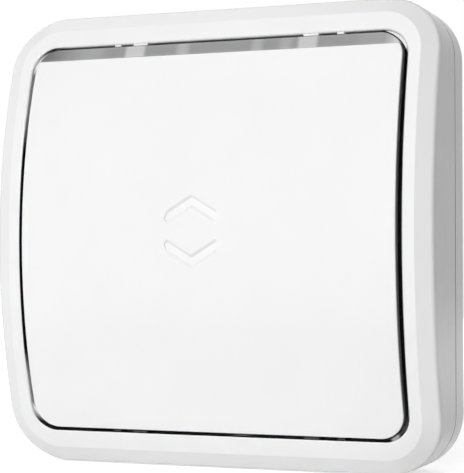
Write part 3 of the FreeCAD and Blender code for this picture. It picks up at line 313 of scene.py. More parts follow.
# Adhesive pads: two strips of double-sided foam tape on the back of the wall plate.
# White closed-cell foam, with the gloss of the adhesive on its face, pressed on by hand.
FOAM_LIGHT = (0.86, 0.85, 0.80)
FOAM_DARK = (0.74, 0.73, 0.68)
FOAM_CELL = 0.0004
FOAM_CELL_WALL = (0.1, 0.7)
FOAM_PIT_DEPTH = 0.00006
FOAM_TACK_SIZE = 0.006
FOAM_ROUGHNESS = (0.35, 0.75)

foam, foam_tree, foam_shader, foam_place = new_finish("foam_tape")
foam_cells = foam_tree.nodes.new("ShaderNodeTexVoronoi")
foam_cells.inputs["Scale"].default_value = 1 / FOAM_CELL
foam_tree.links.new(foam_place, foam_cells.inputs["Vector"])
foam_pits = between(foam_tree, foam_cells.outputs["Distance"], 1.0, 0.0, *FOAM_CELL_WALL)
foam_tone = two_tones(foam_tree, foam_pits, FOAM_DARK, FOAM_LIGHT)
foam_tree.links.new(foam_tone, foam_shader.inputs["Base Color"])
foam_tack = mottle(foam_tree, foam_place, FOAM_TACK_SIZE, detail=3.0)
foam_tree.links.new(between(foam_tree, foam_tack, *FOAM_ROUGHNESS), foam_shader.inputs["Roughness"])
relief(foam_tree, foam_shader, foam_pits, FOAM_PIT_DEPTH)
dress(foam, "adhesive_pads")


# Chassis: the inner tray that the rocker hinges in and the board sits on.
# Moulded in a plainer, more matt ABS than the case, and screwed into the wall plate.
CHASSIS_LIGHT = (0.77, 0.77, 0.76)
CHASSIS_DARK = (0.73, 0.73, 0.72)
CHASSIS_ROUGHNESS = (0.42, 0.55)
CHASSIS_GRAIN = 0.0006
CHASSIS_GRAIN_DEPTH = 0.000008

chassis_plastic = moulded_plastic(
    "chassis_plastic", CHASSIS_LIGHT, CHASSIS_DARK, CHASSIS_ROUGHNESS, CHASSIS_GRAIN, CHASSIS_GRAIN_DEPTH
)
dress(chassis_plastic, "chassis")


# Screws: four hold the chassis to the wall plate, and four hold the board to the chassis.
# Steel, turned and zinc plated, with a faint blue-grey bloom and fine turning marks on the heads.
ZINC_LIGHT = (0.66, 0.67, 0.69)
ZINC_DARK = (0.50, 0.52, 0.55)
ZINC_BLOOM_SIZE = 0.0012
ZINC_ROUGHNESS = (0.45, 0.25)
ZINC_MARK_SIZE = 0.0002
ZINC_MARK_STRETCH = (1, 0.1, 1)
ZINC_MARK_DEPTH = 0.000006

zinc, zinc_tree, zinc_shader, zinc_place = new_finish("zinc_plated_steel", 1.0)
zinc_bloom = mottle(zinc_tree, zinc_place, ZINC_BLOOM_SIZE, detail=4.0)
zinc_colour = two_tones(zinc_tree, between(zinc_tree, zinc_bloom, 0, 1), ZINC_DARK, ZINC_LIGHT)
zinc_tree.links.new(zinc_colour, zinc_shader.inputs["Base Color"])
zinc_tree.links.new(between(zinc_tree, zinc_bloom, *ZINC_ROUGHNESS), zinc_shader.inputs["Roughness"])
zinc_marks = mottle(zinc_tree, zinc_place, ZINC_MARK_SIZE, detail=2.0, stretch=ZINC_MARK_STRETCH)
relief(zinc_tree, zinc_shader, zinc_marks, ZINC_MARK_DEPTH)
dress(zinc, "chassis_screws", "board_screws")


# Circuit boards: the main board on the chassis and the small radio board that is soldered flat on it.
# Glass epoxy under a green solder mask. The copper under the mask shows as lighter tracks, which run
# across in some areas and along in others, and the plated holes show as small bright rounds.
MASK_OVER_GLASS = (0.010, 0.105, 0.040)
MASK_OVER_COPPER = (0.028, 0.215, 0.075)
HOLE_RING = (0.72, 0.62, 0.40)
TRACK_PITCH = 0.0026
TRACK_SHARE = 0.16
TRACK_HEIGHT = 0.00003
AREA_SIZE = 0.009
TURNED_SHARE = 0.5
HOLE_PITCH = 0.0045
HOLE_SCATTER = 0.8
HOLE_RADIUS = 0.14
MASK_SHEEN_SIZE = 0.005
MASK_ROUGHNESS = (0.25, 0.38)


def stripes(tree, coordinate, pitch, share):
    """1 on even stripes across one coordinate, 0 between them."""
    turns = combined(tree, "MULTIPLY", coordinate, 1 / pitch)
    part = combined(tree, "FRACT", turns)
    return combined(tree, "LESS_THAN", part, share)


solder_mask, mask_tree, mask_shader, mask_place = new_finish("green_solder_mask")
mask_right = axis_of(mask_tree, "X")
mask_up = axis_of(mask_tree, "Z")
across_tracks = stripes(mask_tree, mask_right, TRACK_PITCH, TRACK_SHARE)
along_tracks = stripes(mask_tree, mask_up, TRACK_PITCH, TRACK_SHARE)
track_areas = mask_tree.nodes.new("ShaderNodeTexVoronoi")
track_areas.inputs["Scale"].default_value = 1 / AREA_SIZE
mask_tree.links.new(mask_place, track_areas.inputs["Vector"])
area_split = mask_tree.nodes.new("ShaderNodeSeparateColor")
mask_tree.links.new(track_areas.outputs["Color"], area_split.inputs["Color"])
turned_area = combined(mask_tree, "GREATER_THAN", area_split.outputs["Red"], TURNED_SHARE)
straight_area = combined(mask_tree, "SUBTRACT", 1.0, turned_area)
turned_tracks = combined(mask_tree, "MULTIPLY", across_tracks, turned_area)
straight_tracks = combined(mask_tree, "MULTIPLY", along_tracks, straight_area)
tracks = combined(mask_tree, "ADD", turned_tracks, straight_tracks)
holes = mask_tree.nodes.new("ShaderNodeTexVoronoi")
holes.inputs["Scale"].default_value = 1 / HOLE_PITCH
holes.inputs["Randomness"].default_value = HOLE_SCATTER
mask_tree.links.new(mask_place, holes.inputs["Vector"])
hole_rings = combined(mask_tree, "LESS_THAN", holes.outputs["Distance"], HOLE_RADIUS)
mask_colour = two_tones(mask_tree, tracks, MASK_OVER_GLASS, MASK_OVER_COPPER)
mask_with_holes = two_tones(mask_tree, hole_rings, mask_colour, HOLE_RING)
mask_tree.links.new(mask_with_holes, mask_shader.inputs["Base Color"])
mask_sheen = mottle(mask_tree, mask_place, MASK_SHEEN_SIZE)
mask_tree.links.new(between(mask_tree, mask_sheen, *MASK_ROUGHNESS), mask_shader.inputs["Roughness"])
relief(mask_tree, mask_shader, combined(mask_tree, "MAXIMUM", tracks, hole_rings), TRACK_HEIGHT)
dress(solder_mask, "circuit_board", "radio_board")


# Push keys and cell holder: the black moulded parts on the board.
# Glass-filled nylon with a dull skin. The plungers carry the rocker's push into the keys.
NYLON_LIGHT = (0.050, 0.050, 0.052)
NYLON_DARK = (0.030, 0.030, 0.031)
NYLON_ROUGHNESS = (0.38, 0.56)
NYLON_GRAIN = 0.00025
NYLON_GRAIN_DEPTH = 0.000008

black_nylon = moulded_plastic(
    "black_nylon", NYLON_LIGHT, NYLON_DARK, NYLON_ROUGHNESS, NYLON_GRAIN, NYLON_GRAIN_DEPTH
)
dress(black_nylon, "top_key_housing", "bottom_key_housing", "top_key_plunger", "bottom_key_plunger")
dress(black_nylon, "cell_holder")


# Key covers, key legs, radio can and crystal can: thin sheet parts.
# Stamped from tinned steel strip. The covers are clipped on, and the legs and cans are soldered.
# The rolling lines run along the strip, and the tin is a little dull.
TIN_LIGHT = (0.72, 0.71, 0.69)
TIN_DARK = (0.56, 0.55, 0.54)
TIN_LINE_SIZE = 0.0002
TIN_LINE_STRETCH = (1, 1, 0.06)
TIN_LINE_SHARE = (0.5, 1.0)
TIN_LINE_DEPTH = 0.000004
TIN_STAIN_SIZE = 0.003
TIN_STAIN_SHARE = (0.6, 1.0)
TIN_ROUGHNESS = (0.42, 0.26)

tin, tin_tree, tin_shader, tin_place = new_finish("tinned_sheet", 1.0)
tin_lines = mottle(tin_tree, tin_place, TIN_LINE_SIZE, detail=3.0, stretch=TIN_LINE_STRETCH)
tin_stain = mottle(tin_tree, tin_place, TIN_STAIN_SIZE, detail=3.0)
tin_line_tone = between(tin_tree, tin_lines, *TIN_LINE_SHARE)
tin_stain_tone = between(tin_tree, tin_stain, *TIN_STAIN_SHARE)
tin_mix = combined(tin_tree, "MULTIPLY", tin_line_tone, tin_stain_tone)
tin_tree.links.new(two_tones(tin_tree, tin_mix, TIN_DARK, TIN_LIGHT), tin_shader.inputs["Base Color"])
tin_tree.links.new(between(tin_tree, tin_stain, *TIN_ROUGHNESS), tin_shader.inputs["Roughness"])
relief(tin_tree, tin_shader, tin_lines, TIN_LINE_DEPTH)
dress(tin, "top_key_cover", "bottom_key_cover", "top_key_legs", "bottom_key_legs")
dress(tin, "radio_shield", "timing_crystal")


# Cell contacts: the spring bow over the cell and the round plate under it.
# Phosphor bronze strip, stamped and bent, bright on the wearing points and warm brown elsewhere.
BRONZE_BRIGHT = (0.80, 0.62, 0.36)
BRONZE_WORN = (0.52, 0.34, 0.18)
BRONZE_TARNISH_SIZE = 0.0025
BRONZE_ROUGHNESS = (0.40, 0.22)
BRONZE_LINE_SIZE = 0.00022
BRONZE_LINE_STRETCH = (0.06, 1, 1)
BRONZE_LINE_DEPTH = 0.000004

bronze, bronze_tree, bronze_shader, bronze_place = new_finish("phosphor_bronze", 1.0)
bronze_tarnish = mottle(bronze_tree, bronze_place, BRONZE_TARNISH_SIZE, detail=4.0)
bronze_lines = mottle(bronze_tree, bronze_place, BRONZE_LINE_SIZE, detail=2.0, stretch=BRONZE_LINE_STRETCH)
bronze_share = between(bronze_tree, bronze_tarnish, 0, 1)
bronze_colour = two_tones(bronze_tree, bronze_share, BRONZE_WORN, BRONZE_BRIGHT)
bronze_tree.links.new(bronze_colour, bronze_shader.inputs["Base Color"])
bronze_gloss = between(bronze_tree, bronze_tarnish, *BRONZE_ROUGHNESS)
bronze_tree.links.new(bronze_gloss, bronze_shader.inputs["Roughness"])
relief(bronze_tree, bronze_shader, bronze_lines, BRONZE_LINE_DEPTH)
dress(bronze, "plus_contact", "minus_contact")


# Coin cell: a crimped can and cap, 20 mm across, that lies in the holder.
# Nickel-plated stainless steel with fine rings from the drawing die.
CELL_MIDDLE = (-0.0075, -0.0116, 0.0)
NICKEL_LIGHT = (0.76, 0.75, 0.73)
NICKEL_DARK = (0.60, 0.60, 0.59)
NICKEL_MIX = (0.15, 0.35)
NICKEL_HAZE_SIZE = 0.004
NICKEL_ROUGHNESS = (0.16, 0.30)
DIE_RING = 0.00035
DIE_RING_DEPTH = 0.000005


def rings(tree, place, middle, pitch):
    """Fine rings round a line along Y through middle, from 0 to 1, and the reach from that line."""
    shift = tree.nodes.new("ShaderNodeVectorMath")
    shift.operation = "SUBTRACT"
    shift.inputs[1].default_value = middle
    tree.links.new(place, shift.inputs[0])
    flat = tree.nodes.new("ShaderNodeVectorMath")
    flat.operation = "MULTIPLY"
    flat.inputs[1].default_value = (1, 0, 1)
    tree.links.new(shift.outputs[0], flat.inputs[0])
    reach = tree.nodes.new("ShaderNodeVectorMath")
    reach.operation = "LENGTH"
    tree.links.new(flat.outputs[0], reach.inputs[0])
    line = tree.nodes.new("ShaderNodeCombineXYZ")
    tree.links.new(reach.outputs["Value"], line.inputs["X"])
    noise = tree.nodes.new("ShaderNodeTexNoise")
    noise.inputs["Scale"].default_value = 1 / pitch
    noise.inputs["Detail"].default_value = 3.0
    tree.links.new(line.outputs["Vector"], noise.inputs["Vector"])
    return noise.outputs["Fac"], reach.outputs["Value"]


nickel, nickel_tree, nickel_shader, nickel_place = new_finish("nickel_plated_can", 1.0)
die_rings = rings(nickel_tree, nickel_place, CELL_MIDDLE, DIE_RING)[0]
nickel_haze = mottle(nickel_tree, nickel_place, NICKEL_HAZE_SIZE, detail=3.0)
nickel_mix = combined(nickel_tree, "MULTIPLY", die_rings, nickel_haze)
nickel_share = between(nickel_tree, nickel_mix, 0, 1, *NICKEL_MIX)
nickel_colour = two_tones(nickel_tree, nickel_share, NICKEL_DARK, NICKEL_LIGHT)
nickel_tree.links.new(nickel_colour, nickel_shader.inputs["Base Color"])
nickel_tree.links.new(between(nickel_tree, nickel_haze, *NICKEL_ROUGHNESS), nickel_shader.inputs["Roughness"])
relief(nickel_tree, nickel_shader, die_rings, DIE_RING_DEPTH)
dress(nickel, "coin_cell")


# Chips: the radio chip under its can and the controller beside the upper key.
# Black moulded epoxy with a fine speckle of its filler, soldered down and left without any marking.
EPOXY_LIGHT = (0.085, 0.085, 0.088)
EPOXY_DARK = (0.045, 0.045, 0.047)
EPOXY_SPECKLE_SIZE = 0.00012
EPOXY_SPECKLE_DEPTH = 0.000006
EPOXY_ROUGHNESS = (0.62, 0.45)

epoxy, epoxy_tree, epoxy_shader, epoxy_place = new_finish("black_epoxy")
epoxy_speckle = mottle(epoxy_tree, epoxy_place, EPOXY_SPECKLE_SIZE, detail=4.0)
epoxy_colour = two_tones(epoxy_tree, between(epoxy_tree, epoxy_speckle, 0, 1), EPOXY_DARK, EPOXY_LIGHT)
epoxy_tree.links.new(epoxy_colour, epoxy_shader.inputs["Base Color"])
epoxy_tree.links.new(between(epoxy_tree, epoxy_speckle, *EPOXY_ROUGHNESS), epoxy_shader.inputs["Roughness"])
relief(epoxy_tree, epoxy_shader, epoxy_speckle, EPOXY_SPECKLE_DEPTH)
dress(epoxy, "radio_chip", "controller_chip")


# Chip capacitors, chip resistors and chip antenna: small fired ceramic blocks.
# They are soldered to the boards by their tinned ends.
# The capacitors are tan, the antenna is off-white, and the resistors have a dark glaze.
CAPACITOR_TAN = (0.55, 0.40, 0.25)
RESISTOR_GLAZE = (0.035, 0.035, 0.040)
ANTENNA_WHITE = (0.80, 0.77, 0.70)
END_TIN = (0.72, 0.72, 0.70)
END_CAP = 0.00035
CERAMIC_SHADE = 0.8
CERAMIC_SPECKLE_SIZE = 0.0001
CERAMIC_SPECKLE_DEPTH = 0.000004
CERAMIC_ROUGHNESS = (0.5, 0.32)


def darker(colour, share):
    """A colour at this share of its brightness."""
    return tuple(share * part for part in colour)


def fired_ceramic(name, body, node, along):
    """Ceramic with tinned ends, as wide as an end cap, at both ends of the node along one axis."""
    material, tree, shader, place = new_finish(name)
    low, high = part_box(node)
    axis = "XYZ".index(along)
    coordinate = axis_of(tree, along)
    lower_end = combined(tree, "LESS_THAN", coordinate, low[axis] + END_CAP)
    upper_end = combined(tree, "GREATER_THAN", coordinate, high[axis] - END_CAP)
    ends = combined(tree, "MAXIMUM", lower_end, upper_end)
    speckle = mottle(tree, place, CERAMIC_SPECKLE_SIZE, detail=3.0)
    fired = two_tones(tree, between(tree, speckle, 0, 1), darker(body, CERAMIC_SHADE), body)
    tree.links.new(two_tones(tree, ends, fired, END_TIN), shader.inputs["Base Color"])
    tree.links.new(ends, shader.inputs["Metallic"])
    tree.links.new(between(tree, speckle, *CERAMIC_ROUGHNESS), shader.inputs["Roughness"])
    relief(tree, shader, speckle, CERAMIC_SPECKLE_DEPTH)
    dress(material, node)


fired_ceramic("capacitor_ceramic", CAPACITOR_TAN, "chip_capacitors", "Z")
fired_ceramic("resistor_glaze", RESISTOR_GLAZE, "chip_resistors", "Z")
fired_ceramic("antenna_ceramic", ANTENNA_WHITE, "radio_antenna", "X")


# Indicator light: the tiny lamp under the middle of the light strip.
# A white moulded cup with a drop of yellow phosphor gel in its mouth, soldered to the board.
LAMP_CUP = (0.88, 0.87, 0.83)
LAMP_CUP_SHADE = 0.94
LAMP_GEL = (0.86, 0.72, 0.22)
LAMP_MIDDLE = (0.0, -0.0104, 0.03282)
LAMP_RING = 0.0002
LAMP_RING_DEPTH = 0.000004
LAMP_ROUGHNESS = (0.45, 0.12)
GEL_RADIUS = 0.0005

lamp_finish, lamp_tree, lamp_shader, lamp_place = new_finish("indicator_lamp")
lamp_rings, lamp_reach = rings(lamp_tree, lamp_place, LAMP_MIDDLE, LAMP_RING)
gel_mouth = combined(lamp_tree, "LESS_THAN", lamp_reach, GEL_RADIUS)
cup_share = between(lamp_tree, lamp_rings, 0, 1)
cup_tone = two_tones(lamp_tree, cup_share, darker(LAMP_CUP, LAMP_CUP_SHADE), LAMP_CUP)
lamp_tree.links.new(two_tones(lamp_tree, gel_mouth, cup_tone, LAMP_GEL), lamp_shader.inputs["Base Color"])
lamp_tree.links.new(between(lamp_tree, gel_mouth, *LAMP_ROUGHNESS, 0, 1), lamp_shader.inputs["Roughness"])
relief(lamp_tree, lamp_shader, lamp_rings, LAMP_RING_DEPTH)
dress(lamp_finish, "indicator_led")


# Buffer capacitor: a drawn aluminium can, soldered to the board. It carries the radio through each press.
# Brushed round its side, with a dark band down one side that marks its negative leg.
CAN_LIGHT = (0.82, 0.82, 0.84)
CAN_DARK = (0.66, 0.66, 0.68)
CAN_BAND = (0.06, 0.06, 0.07)
CAN_BAND_START = 0.0155
CAN_LINE_SIZE = 0.0002
CAN_LINE_STRETCH = (0.08, 1, 0.08)
CAN_LINE_DEPTH = 0.000004
CAN_ROUGHNESS = (0.38, 0.24)

can_metal, can_tree, can_shader, can_place = new_finish("drawn_aluminium", 1.0)
can_lines = mottle(can_tree, can_place, CAN_LINE_SIZE, detail=3.0, stretch=CAN_LINE_STRETCH)
can_colour = two_tones(can_tree, between(can_tree, can_lines, 0, 1), CAN_DARK, CAN_LIGHT)
can_right = axis_of(can_tree, "X")
can_band = combined(can_tree, "GREATER_THAN", can_right, CAN_BAND_START)
can_tree.links.new(two_tones(can_tree, can_band, can_colour, CAN_BAND), can_shader.inputs["Base Color"])
can_tree.links.new(between(can_tree, can_band, 1.0, 0.0, 0, 1), can_shader.inputs["Metallic"])
can_tree.links.new(between(can_tree, can_lines, *CAN_ROUGHNESS), can_shader.inputs["Roughness"])
relief(can_tree, can_shader, can_lines, CAN_LINE_DEPTH)
dress(can_metal, "buffer_capacitor")


# Light strip: the light guide that lies behind the rocker's top edge and fills the gap there.
# Frosted polycarbonate, moulded in one piece with its light pipe and pressed in by its pegs.
# It is grey, darker towards its left end, and has painted light where the ribs and rests behind it touch.
STRIP_GREY = (0.262, 0.265, 0.262)
STRIP_LEFT_DARK = (0.108, 0.110, 0.108)
STRIP_LIT_TONE = (0.620, 0.624, 0.620)
LEFT_DARK_START = -0.0330
LEFT_DARK_END = -0.0262
FROST_CLOUD_SIZE = 0.0025
FROST_CLOUD_SHARE = 0.05
FROST_GRAIN = 0.00025
FROST_GRAIN_DEPTH = 0.00001
FROST_ROUGHNESS = (0.55, 0.42)

# Each patch of painted light: its place along the strip, half its length, its fade and its paleness.
LIGHT_PATCHES = [
    (-0.0149, 0.0014, 0.0009, 0.80),
    (0.0174, 0.0012, 0.0010, 0.78),
    (-0.0236, 0.0005, 0.0040, 0.20),
    (-0.0057, 0.0003, 0.0016, 0.42),
    (0.0082, 0.0002, 0.0015, 0.34),
    (0.0134, 0.0002, 0.0018, 0.28),
    (0.0290, 0.0012, 0.0030, 0.14),
    (0.0352, 0.0014, 0.0038, 0.98),
]
EDGE_REACH = 0.00045
LOWER_EDGE_SHARE = 0.16
UPPER_EDGE_SHARE = 0.08

frosted, frost_tree, frost_shader, frost_place = new_finish("frosted_polycarbonate")
along_strip = axis_of(frost_tree, "X")
up_strip = axis_of(frost_tree, "Z")
frost_cloud = mottle(frost_tree, frost_place, FROST_CLOUD_SIZE, detail=3.0)
cloud_and_light_share = between(frost_tree, frost_cloud, 0.0, FROST_CLOUD_SHARE)
# Painted light: pale patches on the strip where the ribs and rests behind it touch.
for patch_place, patch_half, patch_fade, patch_light in LIGHT_PATCHES:
    past_patch = combined(frost_tree, "SUBTRACT", along_strip, patch_place)
    away = combined(frost_tree, "ABSOLUTE", past_patch)
    glow = smoothly(frost_tree, away, patch_light, 0.0, patch_half, patch_half + patch_fade)
    cloud_and_light_share = combined(frost_tree, "MAXIMUM", cloud_and_light_share, glow)
strip_low, strip_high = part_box("light_strip")
# Painted highlights along the strip's lower and upper edges.
for edge_height, edge_share in ((strip_low[2], LOWER_EDGE_SHARE), (strip_high[2], UPPER_EDGE_SHARE)):
    above_edge = combined(frost_tree, "SUBTRACT", up_strip, edge_height)
    off_edge = combined(frost_tree, "ABSOLUTE", above_edge)
    edge_light = between(frost_tree, off_edge, edge_share, 0.0, 0.0, EDGE_REACH)
    cloud_and_light_share = combined(frost_tree, "ADD", cloud_and_light_share, edge_light)
# The strip's colour is darker towards its left end.
left_darkening = smoothly(frost_tree, along_strip, 0, 1, LEFT_DARK_START, LEFT_DARK_END)
strip_body = two_tones(frost_tree, left_darkening, STRIP_LEFT_DARK, STRIP_GREY)
strip_tone = two_tones(frost_tree, cloud_and_light_share, strip_body, STRIP_LIT_TONE)
frost_tree.links.new(strip_tone, frost_shader.inputs["Base Color"])
frost_grain = mottle(frost_tree, frost_place, FROST_GRAIN, detail=3.0)
frost_tree.links.new(between(frost_tree, frost_grain, *FROST_ROUGHNESS), frost_shader.inputs["Roughness"])
relief(frost_tree, frost_shader, frost_grain, FROST_GRAIN_DEPTH)
dress(frosted, "light_strip")


# Rocker: the large bowed plate that is pressed at its top or its bottom edge.
# Moulded in glossier white ABS than the case, and snapped into the chassis by its two hinge pins.
# Two plain chevrons, sunk in the middle of the face, point to the places to press.
ROCKER_LIGHT = (0.915, 0.915, 0.915)
ROCKER_DARK = (0.902, 0.902, 0.903)
ROCKER_ROUGHNESS = (0.17, 0.21)
BOW_RADIUS = 0.0917
BOW_AXIS = 0.0685
SIGN_MIDDLE = (-0.0017, 0.0008)
SIGN_HALF_WIDTH = 0.0050
SIGN_RISE = 0.0030
SIGN_GAP = 0.0022
GROOVE_HALF = 0.00055
GROOVE_SLOPE = 0.00045
GROOVE_DEPTH = 0.00040
GROOVE_STEPS = 12
GROOVE_ROUND_START = 0.86
GROOVE_TIP_SHARE = 0.03
CUTTER_CLEAR = 0.0004
SAME_POINT = 0.000002
POINTS_PER_METRE = 1000000
ON_BOW = 0.00001
NEAR_SLOPE = 0.9


def bow_surface(height):
    """The depth of the bowed face at a height above the hinge."""
    return BOW_AXIS - math.sqrt(BOW_RADIUS ** 2 - height ** 2)


def chevron_cutter(name, upward):
    """A closed bar, bent like a chevron, with sloped sides and round tips. It follows the bowed face."""
    slope = math.atan2(SIGN_RISE, SIGN_HALF_WIDTH)
    spread = GROOVE_HALF + GROOVE_SLOPE * (GROOVE_DEPTH + CUTTER_CLEAR) / GROOVE_DEPTH
    points = []
    sections = []
    for step in range(-GROOVE_STEPS, GROOVE_STEPS + 1):
        share = step / GROOVE_STEPS
        across = SIGN_MIDDLE[0] + share * SIGN_HALF_WIDTH
        up = SIGN_MIDDLE[1] + upward * (SIGN_GAP + (1 - abs(share)) * SIGN_RISE)
        in_tip = max(0.0, (abs(share) - GROOVE_ROUND_START) / (1 - GROOVE_ROUND_START))
        narrow = math.sqrt(max(0.0, 1 - in_tip ** 2)) * (1 - GROOVE_TIP_SHARE) + GROOVE_TIP_SHARE
        widening = narrow / math.cos(slope)
        wide = spread * widening
        foot = GROOVE_HALF * widening
        outline = ((-wide, -CUTTER_CLEAR), (-foot, GROOVE_DEPTH), (foot, GROOVE_DEPTH), (wide, -CUTTER_CLEAR))
        section = []
        for offset, depth in outline:
            section.append(len(points))
            points.append((across, bow_surface(up + offset) + depth, up + offset))
        sections.append(section)
    faces = []
    for first, second in zip(sections, sections[1:]):
        for side in range(len(first)):
            other = (side + 1) % len(first)
            faces.append((first[side], first[other], second[other], second[side]))
    faces.append(tuple(sections[0]))
    faces.append(tuple(reversed(sections[-1])))
    mesh = bpy.data.meshes.new(name)
    mesh.from_pydata(points, [], faces)
    shell = bmesh.new()
    shell.from_mesh(mesh)
    bmesh.ops.triangulate(shell, faces=shell.faces[:])
    bmesh.ops.recalc_face_normals(shell, faces=shell.faces[:])
    shell.to_mesh(mesh)
    shell.free()
    cutter = bpy.data.objects.new(name, mesh)
    bpy.context.scene.collection.objects.link(cutter)
    return cutter


def closed_copy(mesh):
    """A copy of a CAD mesh with its seams closed, so that a cutter can work on it."""
    copy = bpy.data.meshes.new("rocker_blank")
    shell = bmesh.new()
    shell.from_mesh(mesh)
    bmesh.ops.remove_doubles(shell, verts=shell.verts[:], dist=SAME_POINT)
    shell.to_mesh(copy)
    shell.free()
    return copy


cad_rocker = nodes["rocker"]
rocker_blank = bpy.data.objects.new("rocker_blank", closed_copy(cad_rocker.data))
bpy.context.scene.collection.objects.link(rocker_blank)
cutters = [chevron_cutter("upper_sign_cutter", 1), chevron_cutter("lower_sign_cutter", -1)]
for cutter in cutters:
    cut = rocker_blank.modifiers.new(cutter.name, "BOOLEAN")
    cut.operation = "DIFFERENCE"
    cut.solver = "EXACT"
    cut.object = cutter
bpy.context.view_layer.update()
rocker_cut = rocker_blank.evaluated_get(bpy.context.evaluated_depsgraph_get())
rocker_mesh = bpy.data.meshes.new_from_object(rocker_cut)
rocker_mesh.name = "rocker_with_signs"
for spent in [rocker_blank, *cutters]:
    bpy.data.objects.remove(spent)


def point_key(point):
    """A point rounded to a thousandth of a millimetre, to find it again in another mesh."""
    return tuple(round(value * POINTS_PER_METRE) for value in point)


# Light runs smoothly over the bow only if each corner of the mesh knows the true slope there.
# Points that the cutters left alone keep the CAD's slope, and new points on the face get the bow's.
true_slopes = {}
cad_mesh = cad_rocker.data
for loop, normal in zip(cad_mesh.loops, cad_mesh.corner_normals):
    key = point_key(cad_mesh.vertices[loop.vertex_index].co)
    true_slopes.setdefault(key, []).append(normal.vector.copy())
slopes = [Vector((0, -1, 0))] * len(rocker_mesh.loops)
for face in rocker_mesh.polygons:
    face.use_smooth = True
    for loop_index in face.loop_indices:
        point = rocker_mesh.vertices[rocker_mesh.loops[loop_index].vertex_index].co
        bow_slope = Vector((0, point.y - BOW_AXIS, point.z))
        on_bow = abs(bow_slope.length - BOW_RADIUS) < ON_BOW and point.y < 0
        choices = true_slopes.get(point_key(point), [])
        if on_bow:
            choices = [*choices, bow_slope.normalized()]
        close = [choice for choice in choices if choice.dot(face.normal) > NEAR_SLOPE]
        slopes[loop_index] = max(close, key=face.normal.dot) if close else face.normal.copy()
rocker_mesh.normals_split_custom_set(slopes)

rocker_plate = bpy.data.objects.new("rocker_plate", rocker_mesh)
bpy.context.scene.collection.objects.link(rocker_plate)
rocker_plastic = moulded_plastic("white_rocker_plastic", ROCKER_LIGHT, ROCKER_DARK, ROCKER_ROUGHNESS)
rocker_mesh.materials.clear()
rocker_mesh.materials.append(rocker_plastic)

# Its sides lie in the shade of the gap round it, and that shade is painted into their colour.
# The shade starts deeper at the lower left than at the upper right, between these two sums of right and up.
SIDE_ZONE = 0.0020
SIDE_SHADE = (0.36, 0.36, 0.36)
SIDE_SHADE_STARTS = (0.00024, 0.00005)
SIDE_SHADE_RAMP = 0.00010
START_TURN = (-0.012, 0.012)
SKIRT_SHADE = (0.03, 0.03, 0.03)
SKIRT_START = 0.0016
SKIRT_RAMP = 0.0003


def square(tree, value):
    """A number times itself."""
    return combined(tree, "MULTIPLY", value, value)


def root(tree, value):
    """The square root of a number."""
    return combined(tree, "POWER", value, 0.5)


def below_bow(tree, backwards, up, radius, axis):
    """How far a point lies behind a bowed face."""
    reach = root(tree, combined(tree, "SUBTRACT", radius ** 2, square(tree, up)))
    return combined(tree, "SUBTRACT", combined(tree, "ADD", backwards, reach), axis)


def outside_of(tree, along, half):
    """1 where a coordinate is farther from the middle than half, 0 elsewhere."""
    return combined(tree, "GREATER_THAN", combined(tree, "ABSOLUTE", along), half)


rocker_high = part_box("rocker")[1]
side_tree = rocker_plastic.node_tree
side_right = axis_of(side_tree, "X")
side_back = axis_of(side_tree, "Y")
side_up = axis_of(side_tree, "Z")
side_depth = below_bow(side_tree, side_back, side_up, BOW_RADIUS, BOW_AXIS)
near_sides = outside_of(side_tree, side_right, rocker_high[0] - SIDE_ZONE)
near_ends = outside_of(side_tree, side_up, rocker_high[2] - SIDE_ZONE)
near_rim = combined(side_tree, "MAXIMUM", near_sides, near_ends)
side_sum = combined(side_tree, "ADD", side_right, side_up)
side_start = between(side_tree, side_sum, *SIDE_SHADE_STARTS, *START_TURN)
# Painted shade on the rocker's sides near the face, and darker painted shade on the skirt deeper down.
for start, ramp, shade_tone in ((side_start, SIDE_SHADE_RAMP, SIDE_SHADE), (SKIRT_START, SKIRT_RAMP, SKIRT_SHADE)):
    past_edge = combined(side_tree, "SUBTRACT", side_depth, start)
    shade = combined(side_tree, "MULTIPLY", between(side_tree, past_edge, 0.0, 1.0, 0.0, ramp), near_rim)
    paint_shade(rocker_plastic, shade, shade_tone)
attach(rocker_plate, "rocker")
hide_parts("rocker")


# Front frame: the bowed border round the rocker, which clips over the wall plate and closes the case.
# Moulded in the same white ABS as the wall plate, with a drafted side, a bevel and a rounded edge.
# The wall of its opening carries painted shade in the gap, left lighter where a web or a rest stands there.
CROWN_RADIUS = 0.1000
CROWN_AXIS = 0.0775
OPENING_HALF = (0.0351, 0.0346)
OPENING_ROUND = 0.00045
GAP_SHADE = (0.015, 0.015, 0.015)
SHADE_STARTS = (0.00012, 0.00025)
SHADE_RAMP = 0.00006
WEB_CORNER = (0.055, 0.064)
WEB_START = 0.00055
TOP_WALL = 0.0338
TOP_PALE_START = (-0.0315, -0.0285)
TOP_PALE_END = 0.0300

# Each pale place, where the painted gap shade is lessened: how far right and up its middle is, its reach, its
# fade and its paleness.
PALE_PLACES = [
    (-0.0345, 0.0300, 0.0020, 0.0030, 1.00),
    (-0.0345, 0.0255, 0.0010, 0.0095, 1.00),
    (-0.0345, -0.0285, 0.0020, 0.0030, 1.00),
    (-0.0345, -0.0265, 0.0010, 0.0060, 1.00),
    (0.0332, 0.0335, 0.0021, 0.0009, 0.85),
    (0.0322, -0.0338, 0.0005, 0.0006, 0.55),
]

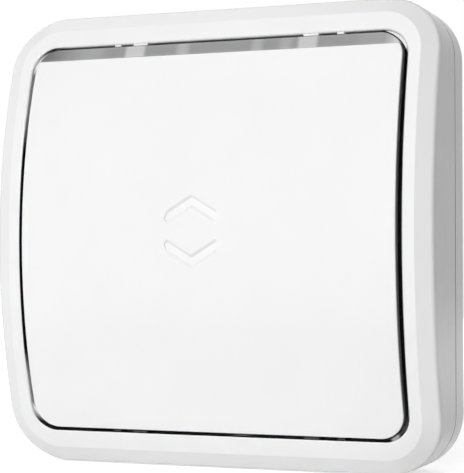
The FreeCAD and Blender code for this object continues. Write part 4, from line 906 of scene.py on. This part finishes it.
frame_plastic = moulded_plastic("white_frame_plastic", CASE_LIGHT, CASE_DARK, CASE_ROUGHNESS)
gap_tree = frame_plastic.node_tree
gap_right = axis_of(gap_tree, "X")
gap_back = axis_of(gap_tree, "Y")
gap_up = axis_of(gap_tree, "Z")
gap_depth = below_bow(gap_tree, gap_back, gap_up, CROWN_RADIUS, CROWN_AXIS)
past_sides = outside_of(gap_tree, gap_right, OPENING_HALF[0] + OPENING_ROUND)
past_ends = outside_of(gap_tree, gap_up, OPENING_HALF[1] + OPENING_ROUND)
outside_opening = combined(gap_tree, "MAXIMUM", past_sides, past_ends)
in_opening = combined(gap_tree, "SUBTRACT", 1.0, outside_opening)
corner_sum = combined(gap_tree, "ADD", gap_right, gap_up)
wall_start = between(gap_tree, corner_sum, *SHADE_STARTS, *START_TURN)
web_start = between(gap_tree, corner_sum, 0.0, WEB_START, *WEB_CORNER)
shade_start = combined(gap_tree, "ADD", wall_start, web_start)
past_start = combined(gap_tree, "SUBTRACT", gap_depth, shade_start)
deep_share = between(gap_tree, past_start, 0.0, 1.0, 0.0, SHADE_RAMP)
gap_share = combined(gap_tree, "MULTIPLY", deep_share, in_opening)
on_top = combined(gap_tree, "GREATER_THAN", gap_up, TOP_WALL)
before_end = combined(gap_tree, "LESS_THAN", gap_right, TOP_PALE_END)
after_start = between(gap_tree, gap_right, 0.0, 1.0, *TOP_PALE_START)
top_wall = combined(gap_tree, "MULTIPLY", on_top, before_end)
top_pale = combined(gap_tree, "MULTIPLY", top_wall, after_start)
gap_share = combined(gap_tree, "MULTIPLY", gap_share, combined(gap_tree, "SUBTRACT", 1.0, top_pale))
for place_right, place_up, reach, fade, paleness in PALE_PLACES:
    off_right = combined(gap_tree, "SUBTRACT", gap_right, place_right)
    off_up = combined(gap_tree, "SUBTRACT", gap_up, place_up)
    off_square = combined(gap_tree, "ADD", square(gap_tree, off_right), square(gap_tree, off_up))
    off = root(gap_tree, off_square)
    kept_share = smoothly(gap_tree, off, 1.0 - paleness, 1.0, reach, reach + fade)
    gap_share = combined(gap_tree, "MULTIPLY", gap_share, kept_share)
# The painted shade of the gap goes into the frame's colour here.
paint_shade(frame_plastic, gap_share, GAP_SHADE)
dress(frame_plastic, "front_frame")
